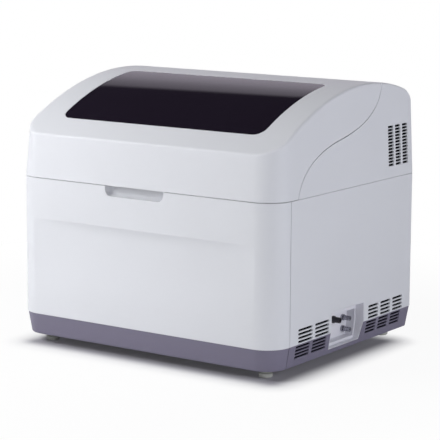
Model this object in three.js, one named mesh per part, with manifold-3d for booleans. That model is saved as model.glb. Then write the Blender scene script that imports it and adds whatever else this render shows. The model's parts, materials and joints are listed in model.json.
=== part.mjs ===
// Benchtop chemistry analyzer: a moulded cabinet with a hinged, windowed lid over a working deck.
// Millimetres, +Z up. X runs across the front, -Y is the front, and Z is 0 at the bench.
// Origin: the middle of the footprint, on the bench.
import * as THREE from 'three';
import { mergeVertices } from 'three/addons/utils/BufferGeometryUtils.js';
import Module from 'manifold-3d';

const wasm = await Module();
wasm.setup();

// Overall size
const bodyWidth = 690;
const bodyDepth = 570;
const frontCornerRadius = 57;
const rearCornerRadius = 10;
const bodyHalfWidth = bodyWidth / 2;
const bodyHalfDepth = bodyDepth / 2;

// Clearances and cutting allowances
const fitGap = 0.3;
const panelGap = 0.8;
const partingGap = 1.6;
const overrun = 20;
const skinMargin = 0.05;
const mergeDistance = 1e-4;

// Facets on the curves
const frontCornerSteps = 8;
const rearCornerSteps = 2;
const browSteps = 3;
const crownSteps = 9;
const rollSteps = 4;
const edgeAngles = [0, 45, 90];
const lipAngles = [0, 22.5, 45, 67.5, 90];
const barSides = 14;
const tubSides = 24;
const smallSides = 8;
const pinSides = 10;
const vialSides = 6;

// Heights above the bench
const skirtBottomZ = 21;
const skirtTopZ = 69;
const lidSeamZ = 376;
const deckTopZ = 365;
const browZ = 473.5;
const crestZ = 592;

// Walls
const coverWall = 3.5;
const sheetWall = 2;
const deckThickness = 3;

// Lid and rear cover outline, seen from the side
const browSetback = 8;
const browHandleRun = 48;
const browHandleRise = 28;
const browRadius = 9;
const crestY = 93;
const crestFrontHandle = 184;
const crestRearHandle = 61;
const rearRollRadius = 45;
const rearRollTopZ = 568;
const rearRollSlopeDegrees = 19;
const rearRollHandle = 46;
const sideLeanShare = 0.0505;
const topEdgeRadius = 6;

// Parting curve between lid and rear cover, seen from the side
const partingFrontY = -199.5;
const partingHookRun = 6.5;
const partingHookRise = 26;
const partingMidY = -20.6;
const partingMidZ = 483.3;
const partingMidFrontRun = 144;
const partingMidFrontDrop = 23;
const partingMidRearRun = 138;
const partingMidRearRise = 25;
const partingTopLead = 7;
const partingTopDrop = 25;

// Lid hinge
const hingeY = 139;
const rollRadius = 10;
const rollClearance = 0.5;
const hingeSideInset = 145;
const hingeX = bodyHalfWidth - hingeSideInset;
const hingeLength = 64;
const hingeCentreLength = 30;
const hingePinRadius = 3;
const hingeBoreClearance = 0.3;
const hingeLeafThickness = 3;
const hingeLeafReach = 50;
const hingeBracketDrop = 45;

// Lid window
const windowSideInset = 79;
const windowHalfWidth = bodyHalfWidth - windowSideInset;
const windowFrontY = -222;
const windowRearY = 43;
const windowCornerRadius = 24;
const paneThickness = 3;
const paneDrop = 0.5;
const paneEdgeGap = 0.4;
const retainerThickness = 3;
const retainerOutset = 12;
const retainerInset = 8;

// Lid buffers
const bufferSideInset = 115;
const bufferX = bodyHalfWidth - bufferSideInset;
const bufferLength = 24;
const bufferWidth = 6;
const bufferBossRise = 4;
const bufferBossHeight = 12;
const bufferBossDepth = 9.5;

// Front cover
const coverSeamSetback = 58.4;
const coverFlangeWidth = 14;
const coverFlangeThickness = 3;
const scoopTopZ = 286;
const scoopBottomZ = 120;
const scoopSideInset = 53;
const scoopHalfWidth = bodyHalfWidth - scoopSideInset;
const scoopDepth = 8;
const scoopEdgeRelief = 0.5;
const gripCentreX = -15.5;
const gripWidth = 155;
const gripBottomZ = 353.5;
const gripDepth = 22;
const gripCornerRadius = 15;
const gripBackRadius = 16;
const gripLipZ = 362;
const gripWall = 2.4;

// Skirt
const skirtTaper = 9;
const skirtTopInset = 1.2;
const skirtEdgeRadius = 3;
const skirtWall = 3;
const skirtFlangeWidth = 14;
const skirtFlangeThickness = 3;

// Louvres
const slotHeight = 4.3;
const panelSlotRows = 4;
const panelSlotPitch = 8.2;
const panelSlotTopZ = 99.4;
const frontSlotLength = 55.5;
const frontSlotPitch = 66.3;
const frontSlotColumns = 2;
const frontSlotStartY = -194.5;
const rearSlotLength = 43.3;
const rearSlotPitch = 53.2;
const rearSlotColumns = 3;
const rearSlotStartY = 92;
const skirtSlotTopZ = 63.8;
const skirtSlotPitch = 7.4;
const skirtFrontSlotShift = -6;
const skirtRearSlotShift = -4.2;
const ventSlotLength = 23.6;
const ventSlotHeight = 3.6;
const ventSlotPitchY = 31.2;
const ventSlotPitchZ = 7.03;
const ventColumns = 3;
const ventRows = 13;
const ventStartY = 172.4;
const ventBottomZ = 404.5;

// Connector recess in the right side
const recessFrontY = -63;
const recessRearY = 73;
const recessRearBottomY = 63.5;
const recessTopZ = 114.5;
const recessBreakZ = 70;
const recessBottomZ = 31.5;
const recessRim = 1.6;
const recessStepDepth = 21;
const recessDepth = 41;
const recessInnerTopZ = 98;
const recessStepInset = 3;
const recessSillRise = 7.5;
const fittingY = 48;
const fittingUpperZ = 79;
const fittingLowerZ = 54;
const fittingLength = 21;
const fittingRadius = 5.3;
const fittingNutRadius = 7;
const fittingNutLength = 4.5;
const fittingNeckRadius = 3.8;
const fittingNeckLength = 2.5;
const fittingBore = 2.2;
const fittingBoreDepth = 12;
const fittingRibCount = 2;
const fittingRibDepth = 0.7;
const socketY = 9;
const socketZ = 81;
const socketRadius = 6.4;
const socketNutRadius = 8.2;
const socketBore = 3.9;
const socketLength = 19;
const socketBoreDepth = 10;

// Feet
const footSideInset = 57;
const footFrontInset = 55;
const footRearInset = 35;
const footX = bodyHalfWidth - footSideInset;
const footFrontY = -bodyHalfDepth + footFrontInset;
const footRearY = bodyHalfDepth - footRearInset;
const footRadius = 15;
const footPadHeight = 9;
const footNeckRadius = 10;
const footEdge = 2;

// Base pan and inner frame
const panClearance = 4;
const panRimHeight = 30;
const frameSideInset = 21;
const frameFrontInset = 59;
const frameRearInset = 23;
const frameWallX = bodyHalfWidth - frameSideInset;
const frameFrontY = -bodyHalfDepth + frameFrontInset;
const frameRearY = bodyHalfDepth - frameRearInset;
const frameFlange = 16;
const frameWindowMargin = 34;
const frameRecessClearance = 4;
const deckEdgeInset = 6;
const deckRearY = 176;
const deckNotchClearance = 1;
const deckHoleMargin = 0.3;
const bulkheadSideInset = 19;
const bulkheadHalfWidth = bodyHalfWidth - bulkheadSideInset;
const bulkheadTopDrop = 12;
const bulkheadFlange = 14;

// Rear panel
const rearPanelSideInset = 12;
const rearPanelHalfWidth = bodyHalfWidth - rearPanelSideInset;
const rearReturnWidth = 24;
const rearPanelTopDrop = 4;
const grilleEdgeInset = 143;
const grilleX = rearPanelHalfWidth - grilleEdgeInset;
const grilleZ = 235;
const grilleColumns = 3;
const grilleRows = 7;
const grilleSlotLength = 31;
const grilleSlotPitchX = 36;
const grilleSlotPitchZ = 14;
const grilleSlotHeight = 7;

// Cooling fan
const fanSize = 120;
const fanDepth = 25;
const fanBoreRadius = 56;
const fanBladeRadius = 54;
const fanHubRadius = 20;
const fanHubDepth = 18;
const fanBladeCount = 7;
const fanBladeThickness = 1.6;
const fanBladeDepth = 14;
const fanBladePitchDegrees = 38;
const fanSpokeWidth = 6;
const fanSpokeDepth = 3;
const fanMotorRadius = 18;

// Power entry
const inletEdgeInset = 83;
const inletX = -rearPanelHalfWidth + inletEdgeInset;
const inletZ = 118;
const inletWidth = 50;
const inletHeight = 62;
const inletFlange = 2.5;
const inletBodyWidth = 44;
const inletBodyHeight = 56;
const inletBodyDepth = 26;
const inletSocketWidth = 26;
const inletSocketHeight = 20;
const inletSocketDepth = 18;
const inletSocketDrop = 14;
const inletCornerCut = 5;
const inletPinWidth = 2;
const inletPinHeight = 5;
const inletPinPitch = 7;
const inletPinDrop = 3;
const inletPinLength = 13;
const rockerWidth = 26;
const rockerHeight = 14;
const rockerFaceDip = 1.4;
const rockerBackHeight = 11;
const rockerDepth = 8;
const rockerPivotDepth = 4;
const rockerRise = 14;
const rockerTiltDegrees = 7;
const rockerWellGap = 0.9;
const rockerWellDepth = 11;
const rockerAxleRadius = 1.5;
const rockerAxleEngage = 1.4;

// Power supply
const supplyWallGap = 74;
const supplyRearInset = 49;
const supplyWidth = 200;
const supplyX = -frameWallX + supplyWallGap + supplyWidth / 2;
const supplyRearY = bodyHalfDepth - supplyRearInset;
const supplyDepth = 98;
const supplyHeight = 62;
const supplyCornerRadius = 4;
const supplyFinCount = 5;
const supplyFinPitch = 32;
const supplyGrooveWidth = 14;
const supplyGrooveDepth = 5;

// Control board
const boardFrontInset = 135;
const boardFrontY = -bodyHalfDepth + boardFrontInset;
const boardLength = 190;
const boardBottomZ = 44;
const boardHeight = 96;
const boardThickness = 1.6;
const boardStandoff = 9;
const boardStandoffRadius = 3.5;
const boardPostInset = 7;
const boardPartHeight = 11;

// Syringe pump
const syringeX = -40;
const syringeY = -190;
const syringeHousingWidth = 44;
const syringeHousingDepth = 40;
const syringeHousingTopZ = 176;
const syringeBarrelRadius = 8;
const syringeBoreRadius = 5.5;
const syringeBarrelBottomZ = 112;
const syringeBarrelTopZ = 170;
const syringeBarrelCap = 6;
const syringeCollarHeight = 8;
const plungerHeadLength = 6;
const plungerHeadRise = 4;
const plungerRodRadius = 2;
const plungerFootRadius = 6;
const plungerFootThickness = 4;
const plungerFootZ = 72;

// Reagent and sample carousel
const reagentSideInset = 180;
const reagentX = -bodyHalfWidth + reagentSideInset;
const reagentY = -60;
const reagentTubRadius = 143;
const reagentTubBottomZ = 292;
const reagentTubRise = 26;
const tubWall = 4;
const tubFlange = 8;
const tubFlangeThickness = 2;
const trayRadius = 134;
const trayThickness = 4;
const trayClearance = 5;
const trayRimWall = 3;
const trayRimHeight = 22;
const trayHubRadius = 26;
const trayHubShoulderZ = 402;
const trayHubTopZ = 424;
const trayKnobRadius = 18;
const traySocketDepth = 1;
const bottleCount = 12;
const bottleRingRadius = 108;
const bottleInnerRadius = 84;
const bottleOuterRadius = 128;
const bottleGapDegrees = 2.2;
const bottleShoulderZ = 396;
const bottleMouthZ = 414;
const bottleNeckRadius = 8.5;
const bottleBoreRadius = 6;
const bottleBoreFloorZ = 350;
const tubeCount = 12;
const tubeRingRadius = 62;
const tubeRadius = 8;
const tubeTopZ = 408;
const tubeBoreRadius = 6;
const tubeBoreFloorZ = 372;
const spindleRadius = 10;
const spindleBoreGap = 0.4;
const spindleStubRadius = 6;
const spindleStubHeight = 20;

// Belt drive of the carousel
const pulleyRadius = 44;
const pulleyThickness = 12;
const pulleyDrop = 10;
const pulleyFlange = 2;
const pulleyFlangeThickness = 1.2;
const motorPulleyRadius = 11;
const pulleyCentreLength = 118;
const driveAngleDegrees = 135;
const beltThickness = 1.6;
const motorSize = 56;
const motorHeight = 50;
const motorCapHeight = 9;
const motorCapInset = 1.5;
const motorCornerRadius = 5;
const motorBossRadius = 11;
const motorBossHeight = 1.6;
const motorShaftRadius = 3;
const motorShaftDepth = 12;
const shelfThickness = 3;
const shelfGap = 4;
const shelfMargin = 4;
const gussetDrop = 42;

// Reaction rotor
const reactionSideInset = 195;
const reactionX = bodyHalfWidth - reactionSideInset;
const reactionY = -70;
const reactionTubRadius = 118;
const reactionTubBottomZ = 330;
const reactionTubRise = 24;
const rotorRadius = 111;
const rotorThickness = 5;
const rotorHubRadius = 22;
const rotorHubTopZ = 398;
const rotorShaftRadius = 8;
const rotorShaftDepth = 16;
const rotorHoleCount = 6;
const rotorHoleRadius = 17;
const rotorHoleRingRadius = 60;
const cuvetteCount = 32;
const cuvetteRingRadius = 102;
const cuvetteBandWidth = 13;
const cuvetteBottomZ = 362;
const cuvetteTopZ = 400;
const cuvetteOpening = 7;
const cuvetteFloor = 5;
const reactionMotorSize = 70;
const reactionMotorHeight = 46;

// Photometer and lamp
const photometerX = reactionX;
const photometerY = 92;
const photometerWidth = 66;
const photometerDepth = 40;
const photometerTopZ = 424;
const photometerNoseWidth = 28;
const photometerNoseReach = 40;
const photometerNoseHeight = 20;
const lampWidth = 80;
const lampDepth = 46;
const lampY = 98;
const lampTopZ = 440;
const lampFinCount = 5;
const lampFinPitch = 14;
const lampFinHeight = 10;
const lampFinWidth = 4;
const lampPipeRadius = 8;
const lampPipeLength = 5;
const lampPipeZ = 398;
const boxEdge = 4;

// Probe and mixer
const probeX = -5;
const probeY = 62;
const mixerSideInset = 59;
const mixerX = bodyHalfWidth - mixerSideInset;
const mixerY = 62;
const columnTopZ = 530;
const columnBottomZ = 250;
const columnRadius = 9;
const guideRadius = 19;
const guideCollarRadius = 14;
const guideRise = 22;
const guideDrop = 60;
const guideFlangeRadius = 26;
const guideFlangeThickness = 4;
const armHubRadius = 17;
const armTipRadius = 10;
const armHeight = 24;
const armEdge = 5;
const armSocketDepth = 12;
const probeArmLength = 150;
const probeParkDegrees = -87;
const probeTubeDegrees = -67.3;
const probeBottleDegrees = -23.2;
const probeCuvetteDegrees = 17.8;
const mixerParkDegrees = -90;
const mixerCuvetteSteps = 17;
const needleRadius = 1.1;
const needleHubRadius = 4.5;
const needleHubLength = 10;
const needleTipZ = 440;
const paddleHubRadius = 7;
const paddleHubLength = 12;
const paddleShaftRadius = 1.3;
const paddleTipZ = 440;
const paddleBladeWidth = 4.4;
const paddleBladeHeight = 12;
const paddleBladeThickness = 1.2;

// Wash well
const wellRadius = 13;
const wellBoreRadius = 7;
const wellTopZ = 424;
const wellBottomZ = 340;
const wellBoreFloorZ = 366;
const wellFlange = 3;

// Materials
function plastic(color, roughness) {
  return new THREE.MeshStandardMaterial({ color, roughness, metalness: 0 });
}

function metal(color, roughness) {
  return new THREE.MeshStandardMaterial({ color, roughness, metalness: 1 });
}

const whiteShell = plastic(0xe3e5e9, 0.42);
const greySkirt = plastic(0x827c92, 0.5);
const recessPlastic = plastic(0xcfcfd8, 0.45);
const smokedPane = new THREE.MeshStandardMaterial({
  color: 0x1d1722, roughness: 0.06, metalness: 0, transparent: true, opacity: 0.86,
});
const deckPlastic = plastic(0xc9ccd2, 0.55);
const blackPlastic = plastic(0x232128, 0.5);
const darkRubber = plastic(0x2e2d31, 0.85);
const footRubber = plastic(0xbfc0bb, 0.6);
const bottlePlastic = plastic(0xd8d6cf, 0.4);
const cuvettePlastic = plastic(0xb9c3cc, 0.2);
const steelSheet = metal(0xb4b7bb, 0.45);
const brightSteel = metal(0xc9cacd, 0.25);
const darkMetal = metal(0x4b4d52, 0.5);

// Solids from closed geometry
function solid(geometry) {
  geometry.deleteAttribute('normal');
  geometry.deleteAttribute('uv');
  const merged = mergeVertices(geometry, mergeDistance);
  const points = merged.attributes.position.array;
  const kept = [];
  let volume = 0;
  for (let i = 0; i < merged.index.count; i += 3) {
    const [a, b, c] = merged.index.array.slice(i, i + 3);
    if (a === b || b === c || a === c) continue;
    kept.push(a, b, c);
    const [p, q, r] = [a, b, c].map((k) => new THREE.Vector3().fromArray(points, k * 3));
    volume += p.dot(q.cross(r));
  }
  if (volume < 0) kept.reverse();
  return new wasm.Manifold(new wasm.Mesh({
    numProp: 3,
    vertProperties: Float32Array.from(points),
    triVerts: Uint32Array.from(kept),
  }));
}

function joined(solids) {
  return solids.reduce((whole, piece) => whole.add(piece));
}

function cutFrom(whole, cutters) {
  return cutters.reduce((left, cutter) => left.subtract(cutter), whole);
}

function box(x0, x1, y0, y1, z0, z1) {
  const geometry = new THREE.BoxGeometry(x1 - x0, y1 - y0, z1 - z0);
  geometry.translate((x0 + x1) / 2, (y0 + y1) / 2, (z0 + z1) / 2);
  return solid(geometry);
}

// A shape drawn in X and Y, raised from z0 to z1
function prismXY(shape, z0, z1, steps = 4) {
  const geometry = new THREE.ExtrudeGeometry(shape, {
    depth: z1 - z0, bevelEnabled: false, curveSegments: steps,
  });
  geometry.translate(0, 0, z0);
  return solid(geometry);
}

// A shape drawn in Y and Z, carried from x0 to x1
function prismYZ(shape, x0, x1, steps = 4) {
  const geometry = new THREE.ExtrudeGeometry(shape, {
    depth: x1 - x0, bevelEnabled: false, curveSegments: steps,
  });
  const turn = new THREE.Matrix4().makeBasis(
    new THREE.Vector3(0, 1, 0), new THREE.Vector3(0, 0, 1), new THREE.Vector3(1, 0, 0),
  );
  geometry.applyMatrix4(turn);
  geometry.translate(x0, 0, 0);
  return solid(geometry);
}

// A shape drawn in X and Z, carried from y0 to y1
function prismXZ(shape, y0, y1, steps = 4) {
  const geometry = new THREE.ExtrudeGeometry(shape, {
    depth: y1 - y0, bevelEnabled: false, curveSegments: steps,
  });
  geometry.rotateX(Math.PI / 2);
  geometry.translate(0, y1, 0);
  return solid(geometry);
}

// A round bar along one axis, from start to end, round the point that the other two values give
function bar(axis, [u, v], start, end, radius, sides = barSides) {
  const geometry = new THREE.CylinderGeometry(radius, radius, end - start, sides);
  const middle = (start + end) / 2;
  if (axis === 'x') geometry.rotateZ(-Math.PI / 2).translate(middle, u, v);
  if (axis === 'y') geometry.translate(u, middle, v);
  if (axis === 'z') geometry.rotateX(Math.PI / 2).translate(u, v, middle);
  return solid(geometry);
}

// A closed outline of radius and height pairs, turned about a line along one axis
function turned(axis, [x, y, z], profile, sides) {
  const points = profile.map(([radius, height]) => new THREE.Vector2(radius, height));
  const geometry = new THREE.LatheGeometry([...points, points[0]], sides);
  if (axis === 'x') geometry.rotateZ(-Math.PI / 2);
  if (axis === 'z') geometry.rotateX(Math.PI / 2);
  geometry.translate(x, y, z);
  return solid(geometry);
}

function polygon(points) {
  return new THREE.Shape(points.map(([a, b]) => new THREE.Vector2(a, b)));
}

function roundedRectangle(x0, x1, y0, y1, lowRadius, highRadius = lowRadius) {
  const shape = new THREE.Shape();
  shape.moveTo(x0 + lowRadius, y0);
  shape.lineTo(x1 - lowRadius, y0);
  shape.absarc(x1 - lowRadius, y0 + lowRadius, lowRadius, -Math.PI / 2, 0);
  shape.lineTo(x1, y1 - highRadius);
  shape.absarc(x1 - highRadius, y1 - highRadius, highRadius, 0, Math.PI / 2);
  shape.lineTo(x0 + highRadius, y1);
  shape.absarc(x0 + highRadius, y1 - highRadius, highRadius, Math.PI / 2, Math.PI);
  shape.lineTo(x0, y0 + lowRadius);
  shape.absarc(x0 + lowRadius, y0 + lowRadius, lowRadius, Math.PI, Math.PI * 1.5);
  return shape;
}

function slotShape(startU, centreV, length, height) {
  const half = height / 2;
  return polygon([
    [startU, centreV - half], [startU + length, centreV - half], [startU + length, centreV + half],
    [startU, centreV + half],
  ]);
}

function radians(degrees) {
  return THREE.MathUtils.degToRad(degrees);
}

// Stacked rings with the same number of points, closed at both ends
function loft(rings) {
  const count = rings[0].length;
  const positions = rings.flat().flatMap((point) => point);
  const index = [];
  for (let level = 0; level + 1 < rings.length; level += 1) {
    for (let i = 0; i < count; i += 1) {
      const a = level * count + i;
      const b = level * count + (i + 1) % count;
      index.push(a, b, b + count, a, b + count, a + count);
    }
  }
  const last = (rings.length - 1) * count;
  for (let i = 1; i + 1 < count; i += 1) {
    index.push(0, i + 1, i);
    index.push(last, last + i, last + i + 1);
  }
  const geometry = new THREE.BufferGeometry();
  geometry.setAttribute('position', new THREE.Float32BufferAttribute(positions, 3));
  geometry.setIndex(index);
  return solid(geometry);
}

// One level of the cabinet's plan outline: large front corners, small rear corners
function planRing(z, side, front = side, rear = side) {
  const frontRadius = frontCornerRadius - Math.max(side, front);
  const rearRadius = Math.max(rearCornerRadius - Math.max(side, rear), rearCornerRadius / 4);
  const x = bodyHalfWidth - side;
  const yFront = -bodyHalfDepth + front;
  const yRear = bodyHalfDepth - rear;
  const corners = [
    [x - frontRadius, yFront + frontRadius, frontRadius, frontCornerSteps],
    [x - rearRadius, yRear - rearRadius, rearRadius, rearCornerSteps],
    [-x + rearRadius, yRear - rearRadius, rearRadius, rearCornerSteps],
    [-x + frontRadius, yFront + frontRadius, frontRadius, frontCornerSteps],
  ];
  return corners.flatMap(([cx, cy, radius, steps], corner) => {
    const arc = [];
    for (let i = 0; i <= steps; i += 1) {
      const angle = (corner - 1 + i / steps) * Math.PI / 2;
      arc.push([cx + radius * Math.cos(angle), cy + radius * Math.sin(angle), z]);
    }
    return arc;
  });
}

function planBody(z0, z1, inset) {
  return loft([planRing(z0, inset), planRing(z1, inset)]);
}

function cubicPoints(ends, steps) {
  const [a, b, c, d] = ends.map(([u, v]) => new THREE.Vector2(u, v));
  return new THREE.CubicBezierCurve(a, b, c, d).getPoints(steps).map((p) => [p.x, p.y]);
}

// Side view of the top: up the front face, round the brow, over the crest and down the rear wall
function topOutline() {
  const frontY = -bodyDepth / 2;
  const brow = new THREE.Vector2(frontY + browSetback, browZ);
  const faceRun = new THREE.Vector2(browSetback, browZ - lidSeamZ).normalize();
  const crownRun = new THREE.Vector2(browHandleRun, browHandleRise).normalize();
  const tangent = browRadius * Math.tan(Math.acos(faceRun.dot(crownRun)) / 2);
  const below = brow.clone().addScaledVector(faceRun, -tangent);
  const above = brow.clone().addScaledVector(crownRun, tangent);
  const browPart = new THREE.QuadraticBezierCurve(below, brow, above).getPoints(browSteps);
  const frontPart = cubicPoints([
    [above.x, above.y], [brow.x + browHandleRun, brow.y + browHandleRise],
    [crestY - crestFrontHandle, crestZ], [crestY, crestZ],
  ], crownSteps);
  const slope = Math.tan(radians(rearRollSlopeDegrees));
  const startAngle = radians(90 - rearRollSlopeDegrees);
  const rollCentreY = bodyHalfDepth - rearRollRadius;
  const rollCentreZ = rearRollTopZ - rearRollRadius * Math.sin(startAngle);
  const rollStartY = rollCentreY + rearRollRadius * Math.cos(startAngle);
  const rearPart = cubicPoints([
    [crestY, crestZ], [crestY + crestRearHandle, crestZ],
    [rollStartY - rearRollHandle, rearRollTopZ + rearRollHandle * slope], [rollStartY, rearRollTopZ],
  ], rollSteps);
  const roll = [];
  for (let i = 1; i <= rollSteps; i += 1) {
    const angle = startAngle * (1 - i / rollSteps);
    roll.push([
      rollCentreY + rearRollRadius * Math.cos(angle), rollCentreZ + rearRollRadius * Math.sin(angle),
    ]);
  }
  return [
    [frontY - skinMargin, lidSeamZ], ...browPart.map((point) => [point.x, point.y]),
    ...frontPart.slice(1), ...rearPart.slice(1), ...roll,
  ];
}

const across = bodyHalfWidth + overrun;
const outline = topOutline();

// The outline moved inwards, square to itself
function outlineInset(inset) {
  return outline.map(([y, z], i) => {
    const before = outline[Math.max(i - 1, 0)];
    const after = outline[Math.min(i + 1, outline.length - 1)];
    const run = new THREE.Vector2(after[0] - before[0], after[1] - before[1]).normalize();
    return [y + inset * run.y, z - inset * run.x];
  });
}

function topHeight(y, inset = 0) {
  const line = outlineInset(inset);
  const i = line.findIndex((point, k) => k > 0 && point[0] >= y);
  const [y0, z0] = line[i - 1];
  const [y1, z1] = line[i];
  return z0 + ((z1 - z0) * (y - y0)) / (y1 - y0);
}

function sideX(z, inset = 0) {
  return bodyHalfWidth - inset - sideLeanShare * Math.max(0, z - lidSeamZ);
}

// The crowned body under the top outline, with rounded side edges and leaning sides
function crownBody(inset) {
  const baseZ = lidSeamZ - overrun;
  const line = outlineInset(inset);
  const tail = line[line.length - 1];
  const stations = [...line, [tail[0] + overrun, tail[1]]];
  const radius = Math.max(topEdgeRadius - inset, topEdgeRadius / 4);
  const rings = stations.map(([y, z]) => {
    const shoulderZ = z - radius;
    const shoulderX = sideX(shoulderZ, inset) + skinMargin;
    const half = [[sideX(baseZ, inset) + skinMargin + sideLeanShare * overrun, baseZ]];
    for (const angle of edgeAngles) {
      half.push([
        shoulderX - radius * (1 - Math.cos(radians(angle))), shoulderZ + radius * Math.sin(radians(angle)),
      ]);
    }
    const other = half.map(([x, height]) => [-x, height]).reverse();
    return [...half, ...other].map(([x, height]) => [x, y, height]);
  });
  return loft(rings);
}

// Upper housing volume: crown and leaning, round-cornered plan together
function upperBody(inset) {
  const topZ = crestZ + overrun;
  const rise = topZ - lidSeamZ;
  const frontLean = browSetback / (browZ - lidSeamZ);
  const plan = loft([
    planRing(
      lidSeamZ - overrun / 2, inset - sideLeanShare * overrun / 2, inset - frontLean * overrun / 2, inset,
    ),
    planRing(topZ, inset + sideLeanShare * rise, inset + frontLean * rise, inset),
  ]);
  return crownBody(inset).intersect(plan);
}

const hingeZ = topHeight(hingeY) - rollRadius;

function partingCurve(shift) {
  const rear = hingeY + rollRadius;
  const front = cubicPoints([
    [partingFrontY, lidSeamZ], [partingFrontY + partingHookRun, lidSeamZ + partingHookRise],
    [partingMidY - partingMidFrontRun, partingMidZ - partingMidFrontDrop], [partingMidY, partingMidZ],
  ], 8);
  const back = cubicPoints([
    [partingMidY, partingMidZ], [partingMidY + partingMidRearRun, partingMidZ + partingMidRearRise],
    [rear - partingTopLead, hingeZ - partingTopDrop], [rear, hingeZ],
  ], 7);
  const line = [...front, ...back.slice(1)];
  return line.map(([y, z], i) => {
    const before = line[Math.max(i - 1, 0)];
    const after = line[Math.min(i + 1, line.length - 1)];
    const run = new THREE.Vector2(after[0] - before[0], after[1] - before[1]).normalize();
    return [y + shift * run.y, z - shift * run.x];
  });
}

// Points of the lid's rolled rear edge, from its lower end up to the top
function rollArc(radius) {
  return lipAngles.map((angle) => [
    hingeY + radius * Math.cos(radians(angle)), hingeZ + radius * Math.sin(radians(angle)),
  ]);
}

function lidRegion() {
  const frontY = -bodyHalfDepth - overrun;
  const topZ = crestZ + overrun;
  const bottomZ = lidSeamZ + partingGap;
  const curve = partingCurve(-partingGap / 2).slice(0, -1);
  curve[0] = [curve[0][0], bottomZ];
  return polygon([
    [frontY, bottomZ], ...curve, ...rollArc(rollRadius), [hingeY, topZ], [frontY, topZ],
  ]);
}

function rearRegion() {
  const rearY = bodyHalfDepth + overrun;
  const topZ = crestZ + overrun;
  const bottomZ = lidSeamZ;
  const curve = partingCurve(partingGap / 2).slice(0, -1);
  curve[0] = [curve[0][0], bottomZ];
  const edgeY = hingeY + rollRadius + partingGap;
  return polygon([...curve, [edgeY, hingeZ], [edgeY, topZ], [rearY, topZ], [rearY, bottomZ]]);
}

const upperOuter = upperBody(0);
const upperInner = upperBody(coverWall);
const upperShell = upperOuter.subtract(upperInner);

function windowPrism(grow) {
  const shape = roundedRectangle(
    -windowHalfWidth - grow, windowHalfWidth + grow, windowFrontY - grow, windowRearY + grow,
    windowCornerRadius + grow,
  );
  return prismXY(shape, lidSeamZ, crestZ + overrun);
}

// Lid: moulded shell, its rear edge rolled round the hinge line
function lidShell() {
  const inner = rollRadius - coverWall;
  const lip = [
    ...rollArc(rollRadius), [hingeY - coverWall, hingeZ + rollRadius - skinMargin],
    [hingeY - coverWall, hingeZ + rollRadius - coverWall / 2], ...rollArc(inner).toReversed(),
  ];
  const lipHalf = sideX(hingeZ + rollRadius) - topEdgeRadius;
  const bossBottomZ = lidSeamZ + bufferBossRise;
  const bossFrontY = -bodyHalfDepth + coverWall / 2;
  const bosses = [-1, 1].map((side) => box(
    side * bufferX - bufferLength / 2, side * bufferX + bufferLength / 2,
    bossFrontY, bossFrontY + bufferBossDepth, bossBottomZ, bossBottomZ + bufferBossHeight,
  ));
  const shell = upperShell.intersect(prismYZ(lidRegion(), -across, across));
  return joined([shell, prismYZ(polygon(lip), -lipHalf, lipHalf), ...bosses]).subtract(windowPrism(0));
}

// Rubber buffer that the lid's boss rests through
function lidBuffer() {
  const rear = -bodyHalfDepth + coverWall / 2 + bufferBossDepth;
  const shape = roundedRectangle(
    -bufferLength / 2, bufferLength / 2, rear - bufferWidth, rear, bufferWidth / 4,
  );
  return prismXY(shape, panelTopZ + fitGap, lidSeamZ + bufferBossRise - fitGap, 1);
}

function windowPane() {
  const sheet = crownBody(paneDrop).subtract(crownBody(paneDrop + paneThickness));
  return sheet.intersect(windowPrism(-paneEdgeGap));
}

function windowRetainer() {
  const topInset = Math.max(coverWall, paneDrop + paneThickness) + fitGap;
  const sheet = crownBody(topInset).subtract(crownBody(topInset + retainerThickness));
  return sheet.intersect(windowPrism(retainerOutset)).subtract(windowPrism(-retainerInset));
}

function louvres(side, columns, rows, startY, pitchY, length, height, topZ, pitchZ) {
  const cutters = [];
  const inner = side * (bodyHalfWidth - overrun);
  const outer = side * (bodyHalfWidth + overrun);
  for (let column = 0; column < columns; column += 1) {
    for (let row = 0; row < rows; row += 1) {
      const shape = slotShape(startY + column * pitchY, topZ - row * pitchZ, length, height);
      cutters.push(prismYZ(shape, Math.min(inner, outer), Math.max(inner, outer)));
    }
  }
  return joined(cutters);
}

function rearCover() {
  const cover = upperShell.intersect(prismYZ(rearRegion(), -across, across));
  const topRowZ = ventBottomZ + (ventRows - 1) * ventSlotPitchZ;
  return cover.subtract(louvres(
    1, ventColumns, ventRows, ventStartY, ventSlotPitchY, ventSlotLength, ventSlotHeight,
    topRowZ, ventSlotPitchZ,
  ));
}

// Lower cabinet shells
const coverSeamY = -bodyHalfDepth + coverSeamSetback;
const panelBottomZ = skirtTopZ + fitGap;
const panelTopZ = lidSeamZ - panelGap;
const frontZone = box(-across, across, -bodyDepth, coverSeamY - panelGap / 2, 0, crestZ);

function sideZone(side) {
  const rearEdge = bodyHalfDepth + overrun;
  const innerX = side * (rearPanelHalfWidth - rearReturnWidth);
  const outerX = side * across;
  return box(
    Math.min(innerX, outerX), Math.max(innerX, outerX), coverSeamY + panelGap / 2, rearEdge, 0, crestZ,
  );
}

function panelShell() {
  const outer = planBody(panelBottomZ, panelTopZ, 0);
  const cavity = planBody(panelBottomZ - overrun, panelTopZ - coverFlangeThickness, coverWall);
  const mouth = planBody(panelTopZ - overrun, panelTopZ + overrun, coverFlangeWidth);
  return [outer, cavity, mouth];
}

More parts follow.
